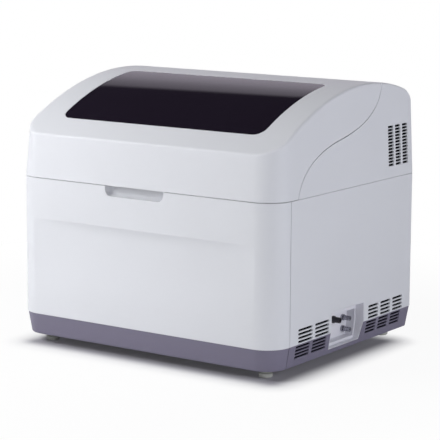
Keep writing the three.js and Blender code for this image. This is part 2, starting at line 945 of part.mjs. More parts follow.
// The soft hollow across the front: a crease along its top, fading downwards and to both ends
function scoopCutter(shift) {
  const riseShares = [1.006, 1, 0.97, 0.9, 0.78, 0.55, 0.25, -0.02];
  const depthShares = [-1, 0.03, 0.42, 0.85, 1, 0.72, 0.24, -1];
  const acrossShares = [-1.01, -0.9, -0.7, -0.45, 0, 0.45, 0.7, 0.9, 1.01];
  const faceY = -bodyHalfDepth + shift;
  const height = scoopTopZ - scoopBottomZ;
  const rings = acrossShares.map((share) => {
    const fade = Math.max(0, 1 - share * share) ** 0.6;
    const x = share * scoopHalfWidth;
    const back = riseShares.map((rise, i) => {
      const depth = depthShares[i] < 0 ? -scoopEdgeRelief : depthShares[i] * fade * scoopDepth;
      const sunk = fade === 0 ? -scoopEdgeRelief : depth;
      return [x, faceY + sunk, scoopBottomZ + rise * height];
    });
    const top = back[0][2];
    const bottom = back[back.length - 1][2];
    return [...back, [x, faceY - overrun, bottom], [x, faceY - overrun, top]];
  });
  return loft(rings);
}

// The finger hollow under the lid's front edge
function gripHollow(grow) {
  const faceY = -bodyDepth / 2;
  const left = gripCentreX - gripWidth / 2 - grow;
  const right = gripCentreX + gripWidth / 2 + grow;
  const topZ = panelTopZ + overrun;
  const front = roundedRectangle(left, right, gripBottomZ - grow, topZ, gripCornerRadius + grow);
  const plan = roundedRectangle(
    left, right, faceY - gripDepth - grow, faceY + gripDepth + grow, gripBackRadius + grow,
  );
  const section = new THREE.Shape();
  section.moveTo(faceY - overrun, topZ);
  section.lineTo(faceY - overrun, gripBottomZ - grow);
  section.lineTo(faceY, gripBottomZ - grow);
  section.quadraticCurveTo(faceY + gripDepth + grow, gripBottomZ - grow, faceY + gripDepth + grow, gripLipZ);
  section.lineTo(faceY + gripDepth + grow, topZ);
  return prismXZ(front, faceY - overrun, faceY + gripDepth + overrun, 4)
    .intersect(prismXY(plan, gripBottomZ - overrun, topZ, 4))
    .intersect(prismYZ(section, left - overrun, right + overrun, 4));
}

function frontCover() {
  const [outer, cavity, mouth] = panelShell();
  const inner = cavity.subtract(scoopCutter(coverWall));
  const shell = cutFrom(outer, [scoopCutter(0), inner, mouth]).intersect(frontZone);
  const pocketWall = gripHollow(gripWall).intersect(planBody(panelBottomZ, panelTopZ, fitGap));
  return shell.add(pocketWall.intersect(frontZone)).subtract(gripHollow(0));
}

function recessOutline(grow) {
  return polygon([
    [recessFrontY - grow, recessTopZ + grow], [recessFrontY - grow, recessBottomZ - grow],
    [recessRearBottomY + grow, recessBottomZ - grow], [recessRearY + grow, recessBreakZ],
    [recessRearY + grow, recessTopZ + grow],
  ]);
}

const recessOpening = prismYZ(recessOutline(fitGap), bodyHalfWidth - recessDepth - overrun, across);

function sidePanel(side) {
  const [outer, cavity, mouth] = panelShell();
  const shell = cutFrom(outer, [cavity, mouth]).intersect(sideZone(side));
  const cuts = [
    louvres(side, frontSlotColumns, panelSlotRows, frontSlotStartY, frontSlotPitch, frontSlotLength,
      slotHeight, panelSlotTopZ, panelSlotPitch),
    louvres(side, rearSlotColumns, panelSlotRows, rearSlotStartY, rearSlotPitch, rearSlotLength,
      slotHeight, panelSlotTopZ, panelSlotPitch),
  ];
  if (side > 0) cuts.push(recessOpening);
  return cutFrom(shell, cuts);
}

// Skirt round the foot of the cabinet, drawn in towards the bench
function skirtBody(grow) {
  return loft([
    planRing(skirtBottomZ, skirtTaper + skirtEdgeRadius + grow),
    planRing(skirtBottomZ + skirtEdgeRadius, skirtTaper + grow),
    planRing(skirtTopZ, skirtTopInset + grow),
  ]);
}

function skirtShell() {
  const floorZ = skirtBottomZ + skirtFlangeThickness;
  const hollow = skirtBody(skirtWall).intersect(box(-across, across, -bodyDepth, bodyDepth, floorZ, crestZ));
  const rimInset = skirtTaper + skirtFlangeWidth;
  const mouth = planBody(skirtBottomZ - overrun, skirtTopZ + overrun, rimInset);
  const open = planBody(skirtTopZ - skirtEdgeRadius, skirtTopZ + overrun, skirtWall + skirtTopInset);
  return cutFrom(skirtBody(0), [hollow, open, mouth]);
}

function sideSkirt(side) {
  const cuts = [
    louvres(side, frontSlotColumns, panelSlotRows, frontSlotStartY + skirtFrontSlotShift, frontSlotPitch,
      frontSlotLength, slotHeight, skirtSlotTopZ, skirtSlotPitch),
    louvres(side, rearSlotColumns, panelSlotRows, rearSlotStartY + skirtRearSlotShift, rearSlotPitch,
      rearSlotLength, slotHeight, skirtSlotTopZ, skirtSlotPitch),
  ];
  if (side > 0) cuts.push(recessOpening);
  return cutFrom(skirtShell().intersect(sideZone(side)), cuts);
}

// Connector recess: a stepped pocket whose rim follows the panel and the skirt
function connectorRecess() {
  const backX = bodyHalfWidth - recessDepth;
  const stepX = bodyHalfWidth - recessStepDepth;
  const block = prismYZ(recessOutline(0), backX - recessRim, across);
  const skin = planBody(panelBottomZ - fitGap, panelTopZ, 0).add(skirtBody(0));
  const outerPocket = prismYZ(recessOutline(-recessRim), stepX, across);
  const sillZ = recessBottomZ + recessSillRise;
  const innerPocket = prismYZ(recessOutline(-recessRim - recessStepInset), backX, across)
    .intersect(box(backX, across, recessFrontY, recessRearY, sillZ, recessInnerTopZ));
  return cutFrom(block.intersect(skin), [outerPocket, innerPocket]);
}

function tubeFitting(z) {
  const base = fittingNutLength;
  const neck = base + fittingNeckLength;
  const ribRun = (fittingLength - neck) / (2 * fittingRibCount + 1);
  const profile = [[0, 0], [fittingNutRadius, 0], [fittingNutRadius, base], [fittingNeckRadius, base],
    [fittingNeckRadius, neck], [fittingRadius, neck]];
  for (let i = 0; i < fittingRibCount; i += 1) {
    const start = neck + (2 * i + 1) * ribRun;
    profile.push([fittingRadius, start], [fittingRadius - fittingRibDepth, start]);
    profile.push([fittingRadius - fittingRibDepth, start + ribRun], [fittingRadius, start + ribRun]);
  }
  profile.push([fittingRadius, fittingLength], [fittingBore, fittingLength]);
  profile.push([fittingBore, fittingLength - fittingBoreDepth], [0, fittingLength - fittingBoreDepth]);
  return turned('x', [bodyHalfWidth - recessDepth + fitGap, fittingY, z], profile, pinSides);
}

function sensorSocket() {
  const profile = [[0, 0], [socketNutRadius, 0], [socketNutRadius, fittingNutLength],
    [socketRadius, fittingNutLength], [socketRadius, socketLength], [socketBore, socketLength],
    [socketBore, socketLength - socketBoreDepth], [0, socketLength - socketBoreDepth]];
  return turned('x', [bodyHalfWidth - recessDepth + fitGap, socketY, socketZ], profile, pinSides);
}

// Base and inner frame
const rearOuterY = bodyHalfDepth - coverWall - fitGap;
const panFloorZ = skirtBottomZ + skirtFlangeThickness + fitGap;

function foot() {
  const top = panFloorZ - fitGap;
  const profile = [[0, 0], [footRadius - footEdge, 0], [footRadius, footEdge], [footRadius, footPadHeight],
    [footNeckRadius, footPadHeight + footEdge], [footNeckRadius, top], [0, top]];
  return turned('z', [0, 0, 0], profile, smallSides);
}

// Tray with a turned-up rim, and behind it an upstand that carries the rear panel
function basePan() {
  const edge = skirtTaper + skirtWall + panClearance;
  const floorZ = panFloorZ + sheetWall;
  const rimZ = panFloorZ + panRimHeight;
  const rearHalf = rearPanelHalfWidth - rearReturnWidth - panelGap;
  const joinY = bodyHalfDepth - edge - sheetWall;
  const tray = planBody(panFloorZ, rimZ, edge).subtract(planBody(floorZ, rimZ + overrun, edge + sheetWall));
  const shelf = box(-rearHalf, rearHalf, joinY, rearOuterY, panFloorZ, floorZ);
  const upstand = box(-rearHalf, rearHalf, rearOuterY - sheetWall, rearOuterY, panFloorZ, skirtTopZ);
  const passage = box(
    -rearHalf + sheetWall, rearHalf - sheetWall, joinY - sheetWall, rearOuterY - sheetWall, floorZ, crestZ,
  );
  return joined([tray.subtract(passage), shelf, upstand]).subtract(recessClearanceBox());
}

function recessClearanceBox() {
  const grow = frameRecessClearance;
  return box(
    bodyHalfWidth - recessDepth - recessRim - grow, across,
    recessFrontY - grow, recessRearY + grow, recessBottomZ - grow, recessTopZ + grow,
  );
}

const frameBottomZ = panFloorZ + sheetWall + fitGap;
const deckBottomZ = deckTopZ - deckThickness;

// Folded side wall of the frame; the left one has the shelf that the belt motor hangs from
function frameWall(side) {
  const topZ = deckBottomZ - fitGap;
  const faces = [side * frameWallX, side * (frameWallX - sheetWall), side * (frameWallX - frameFlange)];
  const webX = [Math.min(faces[0], faces[1]), Math.max(faces[0], faces[1])];
  const flangeX = [Math.min(faces[0], faces[2]), Math.max(faces[0], faces[2])];
  const margin = frameWindowMargin;
  const shelfHalf = motorSize / 2 + shelfMargin;
  const windowRuns = [
    [frameFrontY + margin, motorY - shelfHalf - margin / 2],
    [motorY + shelfHalf + margin / 2, frameRearY - margin],
  ];
  const lowZ = recessTopZ + frameRecessClearance + margin;
  const holes = windowRuns.map(([y0, y1]) => prismYZ(
    roundedRectangle(y0, y1, lowZ, topZ - margin, margin / 2), -across, across, 2,
  ));
  const sheet = joined([
    box(...webX, frameFrontY, frameRearY, frameBottomZ, topZ),
    box(...flangeX, frameFrontY, frameRearY, topZ - sheetWall, topZ),
    box(...flangeX, frameFrontY, frameRearY, frameBottomZ, frameBottomZ + sheetWall),
  ]);
  if (side > 0) return cutFrom(sheet, [...holes, recessClearanceBox()]);
  const endX = motorX + shelfHalf;
  const shelf = box(-frameWallX, endX, motorY - shelfHalf, motorY + shelfHalf, shelfBottomZ, shelfTopZ);
  const gusset = polygon([
    [-frameWallX, shelfBottomZ - gussetDrop], [endX - shelfMargin, shelfBottomZ],
    [endX - shelfMargin, shelfTopZ], [-frameWallX, shelfTopZ],
  ]);
  const gussetY = motorY - shelfHalf;
  const bore = bar(
    'z', [motorX, motorY], shelfBottomZ - overrun, shelfTopZ + overrun, motorBossRadius + fitGap,
  );
  return joined([cutFrom(sheet, holes), shelf, prismXZ(gusset, gussetY, gussetY + sheetWall)]).subtract(bore);
}

function rearBulkhead() {
  const y0 = hingeY + hingeLeafThickness / 2 + fitGap;
  const topZ = hingeZ - bulkheadTopDrop;
  const bottomZ = deckTopZ + fitGap;
  return joined([
    box(-bulkheadHalfWidth, bulkheadHalfWidth, y0, y0 + sheetWall, bottomZ, topZ),
    box(-bulkheadHalfWidth, bulkheadHalfWidth, y0, y0 + bulkheadFlange, topZ - sheetWall, topZ),
    box(-bulkheadHalfWidth, bulkheadHalfWidth, y0, y0 + bulkheadFlange, bottomZ, bottomZ + sheetWall),
  ]);
}

function rearPanel() {
  const innerY = rearOuterY - sheetWall;
  const sheet = box(
    -rearPanelHalfWidth, rearPanelHalfWidth, innerY, rearOuterY, skirtTopZ + fitGap,
    panelTopZ - rearPanelTopDrop,
  );
  const cuts = [];
  for (let column = 0; column < grilleColumns; column += 1) {
    for (let row = 0; row < grilleRows; row += 1) {
      const startX = grilleX + (column - (grilleColumns - 1) / 2) * grilleSlotPitchX - grilleSlotLength / 2;
      const z = grilleZ + (row - (grilleRows - 1) / 2) * grilleSlotPitchZ;
      const slot = slotShape(startX, z, grilleSlotLength, grilleSlotHeight);
      cuts.push(prismXZ(slot, innerY - overrun, rearOuterY + overrun));
    }
  }
  cuts.push(box(
    inletX - inletBodyWidth / 2 - fitGap, inletX + inletBodyWidth / 2 + fitGap, innerY - overrun,
    rearOuterY + overrun, inletZ - inletBodyHeight / 2 - fitGap, inletZ + inletBodyHeight / 2 + fitGap,
  ));
  return sheet.subtract(joined(cuts));
}

// Cooling fan, built round its own axis along Y, with its inner face at Y = 0
function fanFrame() {
  const half = fanSize / 2;
  const square = prismXZ(roundedRectangle(-half, half, -half, half, fanSize / 20), 0, fanDepth, 2);
  const bored = square.subtract(bar('y', [0, 0], -overrun, fanDepth + overrun, fanBoreRadius, tubSides));
  const arm = fanBoreRadius + fitGap;
  const spokes = [
    box(-arm, arm, 0, fanSpokeDepth, -fanSpokeWidth / 2, fanSpokeWidth / 2),
    box(-fanSpokeWidth / 2, fanSpokeWidth / 2, 0, fanSpokeDepth, -arm, arm),
    bar('y', [0, 0], 0, fanSpokeDepth, fanMotorRadius),
  ];
  return joined([bored, ...spokes]);
}

function fanRotor() {
  const start = fanSpokeDepth + fitGap;
  const middle = start + fanHubDepth / 2;
  const hub = turned('y', [0, 0, 0], [
    [0, start], [fanHubRadius, start], [fanHubRadius, start + fanHubDepth - fanBladeThickness],
    [fanHubRadius - fanBladeThickness, start + fanHubDepth], [0, start + fanHubDepth],
  ], barSides);
  const blades = [];
  for (let i = 0; i < fanBladeCount; i += 1) {
    const inner = fanHubRadius - fanBladeThickness * 2;
    const blade = new THREE.BoxGeometry(fanBladeRadius - inner, fanBladeDepth, fanBladeThickness);
    blade.rotateX(radians(fanBladePitchDegrees));
    blade.translate((fanBladeRadius + inner) / 2, middle, 0);
    blade.rotateY((i * 2 * Math.PI) / fanBladeCount);
    blades.push(solid(blade));
  }
  return joined([hub, ...blades]);
}

// Mains inlet with its rocker well, built round the middle of its flange's outer face
const rockerPivotY = inletFlange - rockerPivotDepth;
const rockerWellHalfHeight = rockerHeight / 2 + rockerWellGap;
const rockerWellHalfWidth = rockerWidth / 2 + rockerWellGap;

function powerInlet() {
  const halfWidth = inletWidth / 2;
  const halfHeight = inletHeight / 2;
  const flange = prismXZ(
    roundedRectangle(-halfWidth, halfWidth, -halfHeight, halfHeight, inletCornerCut / 2), 0, inletFlange, 1,
  );
  const body = box(
    -inletBodyWidth / 2, inletBodyWidth / 2, -inletBodyDepth, fitGap,
    -inletBodyHeight / 2, inletBodyHeight / 2,
  );
  const side = inletSocketWidth / 2;
  const low = -inletSocketDrop - inletSocketHeight / 2;
  const high = -inletSocketDrop + inletSocketHeight / 2;
  const mouth = polygon([
    [-side, low], [side, low], [side, high - inletCornerCut], [side - inletCornerCut, high],
    [-side + inletCornerCut, high], [-side, high - inletCornerCut],
  ]);
  const socketFloor = inletFlange - inletSocketDepth;
  const well = box(
    -rockerWellHalfWidth, rockerWellHalfWidth, inletFlange - rockerWellDepth, inletFlange + overrun,
    rockerRise - rockerWellHalfHeight, rockerRise + rockerWellHalfHeight,
  );
  const axleEnd = rockerWellHalfWidth + rockerAxleEngage;
  const axle = bar(
    'x', [rockerPivotY, rockerRise], -axleEnd - fitGap, axleEnd + fitGap,
    rockerAxleRadius + fitGap, smallSides,
  );
  const housing = cutFrom(flange.add(body), [prismXZ(mouth, socketFloor, inletFlange + overrun), well, axle]);
  const pins = [-1, 0, 1].map((place) => {
    const x = place * inletPinPitch;
    const z = -inletSocketDrop - (place === 0 ? -inletPinDrop : inletPinDrop);
    return box(
      x - inletPinWidth / 2, x + inletPinWidth / 2, socketFloor - fitGap, socketFloor + inletPinLength,
      z - inletPinHeight / 2, z + inletPinHeight / 2,
    );
  });
  return joined([housing, ...pins]);
}

// Rocker of the power switch, built round its own pivot along X, level between its two positions
function powerRocker() {
  const half = rockerHeight / 2;
  const backHalf = rockerBackHeight / 2;
  const profile = polygon([
    [rockerPivotDepth - rockerDepth, -backHalf], [rockerPivotDepth, -half],
    [rockerPivotDepth - rockerFaceDip, 0], [rockerPivotDepth, half],
    [rockerPivotDepth - rockerDepth, backHalf],
  ]);
  const axleEnd = rockerWellHalfWidth + rockerAxleEngage;
  return prismYZ(profile, -rockerWidth / 2, rockerWidth / 2)
    .add(bar('x', [0, 0], -axleEnd, axleEnd, rockerAxleRadius, smallSides));
}

function powerSupply() {
  const half = supplyWidth / 2;
  const topZ = frameBottomZ + supplyHeight;
  const shape = roundedRectangle(-half, half, -supplyDepth, 0, supplyCornerRadius);
  const grooves = [];
  for (let i = 0; i < supplyFinCount; i += 1) {
    const x = (i - (supplyFinCount - 1) / 2) * supplyFinPitch;
    grooves.push(box(
      x - supplyGrooveWidth / 2, x + supplyGrooveWidth / 2, -supplyDepth - overrun, overrun,
      topZ - supplyGrooveDepth, topZ + overrun,
    ));
  }
  return prismXY(shape, frameBottomZ, topZ, 2).subtract(joined(grooves));
}

// Circuit board on four posts, with its larger parts; its wall side is at X = 0
function controlBoard() {
  const faceX = boardStandoff + boardThickness;
  const posts = [];
  for (const y of [boardPostInset, boardLength - boardPostInset]) {
    for (const z of [boardPostInset, boardHeight - boardPostInset]) {
      posts.push(bar('x', [y, z], 0, boardStandoff + fitGap, boardStandoffRadius, smallSides));
    }
  }
  const partShares = [
    [0.08, 0.16, 0.2, 0.34, 0.5], [0.36, 0.22, 0.16, 0.3, 0.35], [0.6, 0.14, 0.1, 0.5, 1],
    [0.2, 0.74, 0.5, 0.12, 0.9],
  ];
  const parts = partShares.map(([startY, startZ, runY, runZ, rise]) => box(
    faceX - fitGap, faceX + rise * boardPartHeight, startY * boardLength, (startY + runY) * boardLength,
    startZ * boardHeight, (startZ + runZ) * boardHeight,
  ));
  const board = box(boardStandoff, faceX, 0, boardLength, 0, boardHeight);
  return joined([board, ...posts, ...parts]);
}

// Syringe pump: housing, and a glass barrel held by two collars on its front
const barrelY = -syringeHousingDepth / 2 - syringeBarrelRadius - fitGap;

function syringePump() {
  const half = syringeHousingWidth / 2;
  const depth = syringeHousingDepth / 2;
  const housing = prismXY(
    roundedRectangle(-half, half, -depth, depth, boxEdge), frameBottomZ, syringeHousingTopZ, 3,
  );
  const barrel = turned('z', [0, barrelY, 0], [
    [syringeBoreRadius, syringeBarrelBottomZ], [syringeBarrelRadius, syringeBarrelBottomZ],
    [syringeBarrelRadius, syringeBarrelTopZ], [0, syringeBarrelTopZ],
    [0, syringeBarrelTopZ - syringeBarrelCap], [syringeBoreRadius, syringeBarrelTopZ - syringeBarrelCap],
  ], barSides);
  const collars = [syringeBarrelBottomZ, syringeBarrelTopZ - syringeCollarHeight].map((z) => box(
    -syringeBarrelRadius, syringeBarrelRadius, barrelY, -depth + fitGap, z, z + syringeCollarHeight,
  ));
  const bore = bar(
    'z', [0, barrelY], syringeBarrelBottomZ - overrun, syringeBarrelTopZ - syringeBarrelCap,
    syringeBoreRadius, barSides,
  );
  return joined([housing, barrel, ...collars]).subtract(bore);
}

function syringePlunger() {
  const footTop = plungerFootZ + plungerFootThickness;
  const headZ = syringeBarrelBottomZ + plungerHeadRise;
  const headRadius = syringeBoreRadius - fitGap;
  return turned('z', [0, barrelY, 0], [
    [0, plungerFootZ], [plungerFootRadius, plungerFootZ], [plungerFootRadius, footTop],
    [plungerRodRadius, footTop], [plungerRodRadius, headZ], [headRadius, headZ],
    [headRadius, headZ + plungerHeadLength], [0, headZ + plungerHeadLength],
  ], barSides);
}

// A round tub hung from the deck by its flange, with a bearing boss in its floor
function tub(radius, bottomZ, rise, bore) {
  const flangeZ = deckTopZ + fitGap;
  const flangeTopZ = flangeZ + tubFlangeThickness;
  const floorZ = bottomZ + tubWall;
  const topZ = deckTopZ + rise;
  return turned('z', [0, 0, 0], [
    [bore, bottomZ], [radius, bottomZ], [radius, flangeZ], [radius + tubFlange, flangeZ],
    [radius + tubFlange, flangeTopZ], [radius, flangeTopZ], [radius, topZ], [radius - tubWall, topZ],
    [radius - tubWall, floorZ], [bore, floorZ],
  ], tubSides);
}

function polar(radius, degrees) {
  return [radius * Math.cos(radians(degrees)), radius * Math.sin(radians(degrees))];
}

// Where the probe's needle stands when the arm has swung by some degrees from its parked place
function needlePlace(swing) {
  const [x, y] = polar(probeArmLength, probeParkDegrees + swing);
  return [probeX + x, probeY + y];
}

function bearingFrom([x0, y0], [x1, y1]) {
  return THREE.MathUtils.radToDeg(Math.atan2(y1 - y0, x1 - x0));
}

const trayZ = reagentTubBottomZ + tubWall + trayClearance;
const bottlePhase = bearingFrom([reagentX, reagentY], needlePlace(probeBottleDegrees));
const tubePhase = bearingFrom([reagentX, reagentY], needlePlace(probeTubeDegrees));
const cuvettePhase = bearingFrom([reactionX, reactionY], needlePlace(probeCuvetteDegrees));

function vial(x, y, baseZ, topZ, radius, boreRadius, boreFloorZ) {
  const body = bar('z', [x, y], baseZ, topZ, radius, vialSides);
  return body.subtract(bar('z', [x, y], boreFloorZ, topZ + overrun, boreRadius, vialSides));
}

// Turntable with a ring of reagent bottles outside and a ring of sample tubes inside
function reagentCarousel() {
  const trayTopZ = trayZ + trayThickness;
  const socketRadius = spindleStubRadius + fitGap;
  const socketTopZ = trayZ + spindleStubHeight + fitGap;
  const tray = turned('z', [0, 0, 0], [
    [socketRadius, trayZ], [trayRadius, trayZ], [trayRadius, trayZ + trayRimHeight],
    [trayRadius - trayRimWall, trayZ + trayRimHeight], [trayRadius - trayRimWall, trayTopZ],
    [trayHubRadius, trayTopZ], [trayHubRadius, trayHubShoulderZ], [trayKnobRadius, trayHubShoulderZ],
    [trayKnobRadius, trayHubTopZ], [0, trayHubTopZ], [0, socketTopZ], [socketRadius, socketTopZ],
  ], tubSides);
  const seatZ = trayTopZ - traySocketDepth;
  const halfAngle = 180 / bottleCount - bottleGapDegrees / 2;
  const bottles = [];
  for (let i = 0; i < bottleCount; i += 1) {
    const angle = bottlePhase + (i * 360) / bottleCount;
    const wedge = polygon([
      polar(bottleInnerRadius, angle - halfAngle), polar(bottleOuterRadius, angle - halfAngle),
      polar(bottleOuterRadius, angle + halfAngle), polar(bottleInnerRadius, angle + halfAngle),
    ]);
    const [x, y] = polar(bottleRingRadius, angle);
    const neck = bar(
      'z', [x, y], bottleShoulderZ - traySocketDepth, bottleMouthZ, bottleNeckRadius, vialSides,
    );
    const bore = bar('z', [x, y], bottleBoreFloorZ, bottleMouthZ + overrun, bottleBoreRadius, vialSides);
    bottles.push(prismXY(wedge, seatZ, bottleShoulderZ).add(neck).subtract(bore));
  }
  const tubes = [];
  for (let i = 0; i < tubeCount; i += 1) {
    const [x, y] = polar(tubeRingRadius, tubePhase + (i * 360) / tubeCount);
    tubes.push(vial(x, y, seatZ, tubeTopZ, tubeRadius, tubeBoreRadius, tubeBoreFloorZ));
  }
  return joined([tray, ...bottles, ...tubes]);
}

const pulleyTopZ = reagentTubBottomZ - pulleyDrop;
const pulleyBottomZ = pulleyTopZ - pulleyThickness;
const shelfTopZ = pulleyBottomZ - shelfGap;
const shelfBottomZ = shelfTopZ - shelfThickness;
const [driveX, driveY] = polar(pulleyCentreLength, driveAngleDegrees);
const motorX = reagentX + driveX;
const motorY = reagentY + driveY;

function pulleyProfile(radius) {
  const rim = radius + pulleyFlange;
  return [
    [0, pulleyBottomZ], [rim, pulleyBottomZ], [rim, pulleyBottomZ + pulleyFlangeThickness],
    [radius, pulleyBottomZ + pulleyFlangeThickness], [radius, pulleyTopZ - pulleyFlangeThickness],
    [rim, pulleyTopZ - pulleyFlangeThickness], [rim, pulleyTopZ],
  ];
}

function reagentSpindle() {
  const shoulderZ = trayZ - fitGap;
  return turned('z', [0, 0, 0], [
    ...pulleyProfile(pulleyRadius), [spindleRadius, pulleyTopZ], [spindleRadius, shoulderZ],
    [spindleStubRadius, shoulderZ], [spindleStubRadius, trayZ + spindleStubHeight],
    [0, trayZ + spindleStubHeight],
  ], barSides);
}

function motorPulley() {
  const bottomZ = shelfBottomZ - motorShaftDepth;
  return turned('z', [0, 0, 0], [
    [0, bottomZ], [motorShaftRadius, bottomZ], [motorShaftRadius, pulleyBottomZ],
    ...pulleyProfile(motorPulleyRadius).slice(1), [0, pulleyTopZ],
  ], barSides);
}

// Belt round both pulleys, in a frame with the small pulley along +X
function beltLoop(grow) {
  const wrap = Math.acos((pulleyRadius - motorPulleyRadius) / pulleyCentreLength);
  const large = (pulleyRadius + fitGap + grow) / Math.cos((Math.PI - wrap) / barSides);
  const small = (motorPulleyRadius + fitGap + grow) / Math.cos(wrap / smallSides);
  const points = [];
  for (let i = 0; i <= barSides; i += 1) {
    const angle = wrap + (i / barSides) * 2 * (Math.PI - wrap);
    points.push([large * Math.cos(angle), large * Math.sin(angle)]);
  }
  for (let i = 0; i <= smallSides; i += 1) {
    const angle = wrap * ((2 * i) / smallSides - 1);
    points.push([pulleyCentreLength + small * Math.cos(angle), small * Math.sin(angle)]);
  }
  return polygon(points);
}

function reagentBelt() {
  const bottomZ = pulleyBottomZ + pulleyFlangeThickness + fitGap;
  const topZ = pulleyTopZ - pulleyFlangeThickness - fitGap;
  return prismXY(beltLoop(beltThickness), bottomZ, topZ)
    .subtract(prismXY(beltLoop(0), bottomZ - overrun, topZ + overrun));
}

// Square stepper motor: end caps, a narrower middle, a locating boss and a bore for its shaft
function motor(size, height, topZ, bossHeight, shaftRadius, shaftDepth) {
  const block = (inset, z0, z1) => prismXY(
    roundedRectangle(
      -size / 2 + inset, size / 2 - inset, -size / 2 + inset, size / 2 - inset, motorCornerRadius,
    ), z0, z1, 1,
  );
  const lowZ = topZ - height;
  const body = joined([
    block(0, lowZ, lowZ + motorCapHeight), block(0, topZ - motorCapHeight, topZ),
    block(motorCapInset, lowZ + fitGap, topZ - fitGap),
    bar('z', [0, 0], topZ - motorCapHeight / 2, topZ + bossHeight, motorBossRadius),
  ]);
  return body.subtract(bar('z', [0, 0], topZ - shaftDepth - fitGap, topZ + overrun, shaftRadius + fitGap));
}

// Reaction rotor: disc, a band of square cuvettes, lightening holes, hub and shaft
function reactionRotor() {
  const discZ = cuvetteBottomZ;
  const discTopZ = discZ + rotorThickness;
  const innerBand = cuvetteRingRadius - cuvetteBandWidth / 2;
  const outerBand = cuvetteRingRadius + cuvetteBandWidth / 2;
  const shaftZ = reactionTubBottomZ - rotorShaftDepth;
  const disc = turned('z', [0, 0, 0], [
    [0, shaftZ], [rotorShaftRadius, shaftZ], [rotorShaftRadius, discZ], [rotorRadius, discZ],
    [rotorRadius, discTopZ], [outerBand, discTopZ], [outerBand, cuvetteTopZ], [innerBand, cuvetteTopZ],
    [innerBand, discTopZ], [rotorHubRadius, discTopZ], [rotorHubRadius, rotorHubTopZ], [0, rotorHubTopZ],
  ], tubSides);
  const cuts = [];
  for (let i = 0; i < cuvetteCount; i += 1) {
    const well = new THREE.BoxGeometry(cuvetteOpening, cuvetteOpening, cuvetteTopZ);
    well.translate(cuvetteRingRadius, 0, cuvetteTopZ / 2 + cuvetteBottomZ + cuvetteFloor);
    well.rotateZ(radians(cuvettePhase + (i * 360) / cuvetteCount));
    cuts.push(solid(well));
  }
  for (let i = 0; i < rotorHoleCount; i += 1) {
    const place = polar(rotorHoleRingRadius, (i * 360) / rotorHoleCount);
    cuts.push(bar('z', place, discZ - overrun, discTopZ + overrun, rotorHoleRadius, smallSides));
  }
  return disc.subtract(joined(cuts));
}

// Photometer head: a rounded block with a nose that reaches over the cuvettes
function photometerHead() {
  const half = photometerWidth / 2;
  const depth = photometerDepth / 2;
  const nose = photometerNoseWidth / 2;
  const body = prismXY(
    roundedRectangle(-half, half, -depth, depth, boxEdge), deckTopZ + fitGap, photometerTopZ, 3,
  );
  const arm = roundedRectangle(-nose, nose, -depth - photometerNoseReach, 0, boxEdge);
  return body.add(prismXY(arm, photometerTopZ - photometerNoseHeight, photometerTopZ - boxEdge, 3));
}

// Lamp housing with cooling fins on top and a light pipe towards the photometer
const lampX = photometerX - photometerWidth / 2 - fitGap - lampPipeLength - lampWidth / 2;

function lampHousing() {
  const half = lampWidth / 2;
  const depth = lampDepth / 2;
  const shoulderZ = lampTopZ - lampFinHeight;
  const plan = roundedRectangle(-half, half, -depth, depth, boxEdge);
  const body = prismXY(plan, deckTopZ + fitGap, shoulderZ, 3);
  const fins = [];
  for (let i = 0; i < lampFinCount; i += 1) {
    const x = (i - (lampFinCount - 1) / 2) * lampFinPitch;
    fins.push(box(
      x - lampFinWidth / 2, x + lampFinWidth / 2, -depth + boxEdge, depth - boxEdge,
      shoulderZ - fitGap, lampTopZ,
    ));
  }
  const pipe = bar(
    'x', [photometerY - lampY, lampPipeZ], 0, half + lampPipeLength, lampPipeRadius, smallSides,
  );
  return joined([body, ...fins, pipe]);
}

// Guide bush for a lifting column, flanged on the deck
function columnGuide() {
  const bore = columnRadius + fitGap;
  const flangeZ = deckTopZ + fitGap;
  const flangeTopZ = flangeZ + guideFlangeThickness;
  return turned('z', [0, 0, 0], [
    [bore, deckTopZ - guideDrop], [guideRadius, deckTopZ - guideDrop], [guideRadius, flangeZ],
    [guideFlangeRadius, flangeZ], [guideFlangeRadius, flangeTopZ], [guideCollarRadius, flangeTopZ],
    [guideCollarRadius, deckTopZ + guideRise], [bore, deckTopZ + guideRise],
  ], barSides);
}

// Arm with a socket for its column at the origin, pointing along +X, its underside at Z = 0
function swingArm(reach) {
  const outlineAt = (inset, z) => {
    const hub = armHubRadius - inset;
    const tip = armTipRadius - inset;
    const wrap = Math.acos((hub - tip) / reach);
    const points = [];
    for (let i = 0; i <= smallSides; i += 1) {
      const angle = wrap + (i / smallSides) * 2 * (Math.PI - wrap);
      points.push([hub * Math.cos(angle), hub * Math.sin(angle), z]);
    }
    for (let i = 0; i <= smallSides; i += 1) {
      const angle = wrap * ((2 * i) / smallSides - 1);
      points.push([reach + tip * Math.cos(angle), tip * Math.sin(angle), z]);
    }
    return points;
  };
  const body = loft([
    outlineAt(0, 0), outlineAt(0, armHeight - armEdge), outlineAt(armEdge / 4, armHeight - armEdge / 3),
    outlineAt(armEdge, armHeight),
  ]);
  return body.subtract(bar('z', [0, 0], -overrun, armSocketDepth + fitGap, columnRadius + fitGap));
}

const armZ = columnTopZ - armSocketDepth;

// Steel needle with its hub, hung under the arm's tip
function needle() {
  const hubTopZ = armZ - fitGap;
  return turned('z', [0, 0, 0], [
    [0, needleTipZ - armZ], [needleRadius, needleTipZ + needleRadius * 2 - armZ],
    [needleRadius, hubTopZ - needleHubLength - armZ], [needleHubRadius, hubTopZ - needleHubLength - armZ],
    [needleHubRadius, hubTopZ - armZ], [0, hubTopZ - armZ],
  ], smallSides);
}

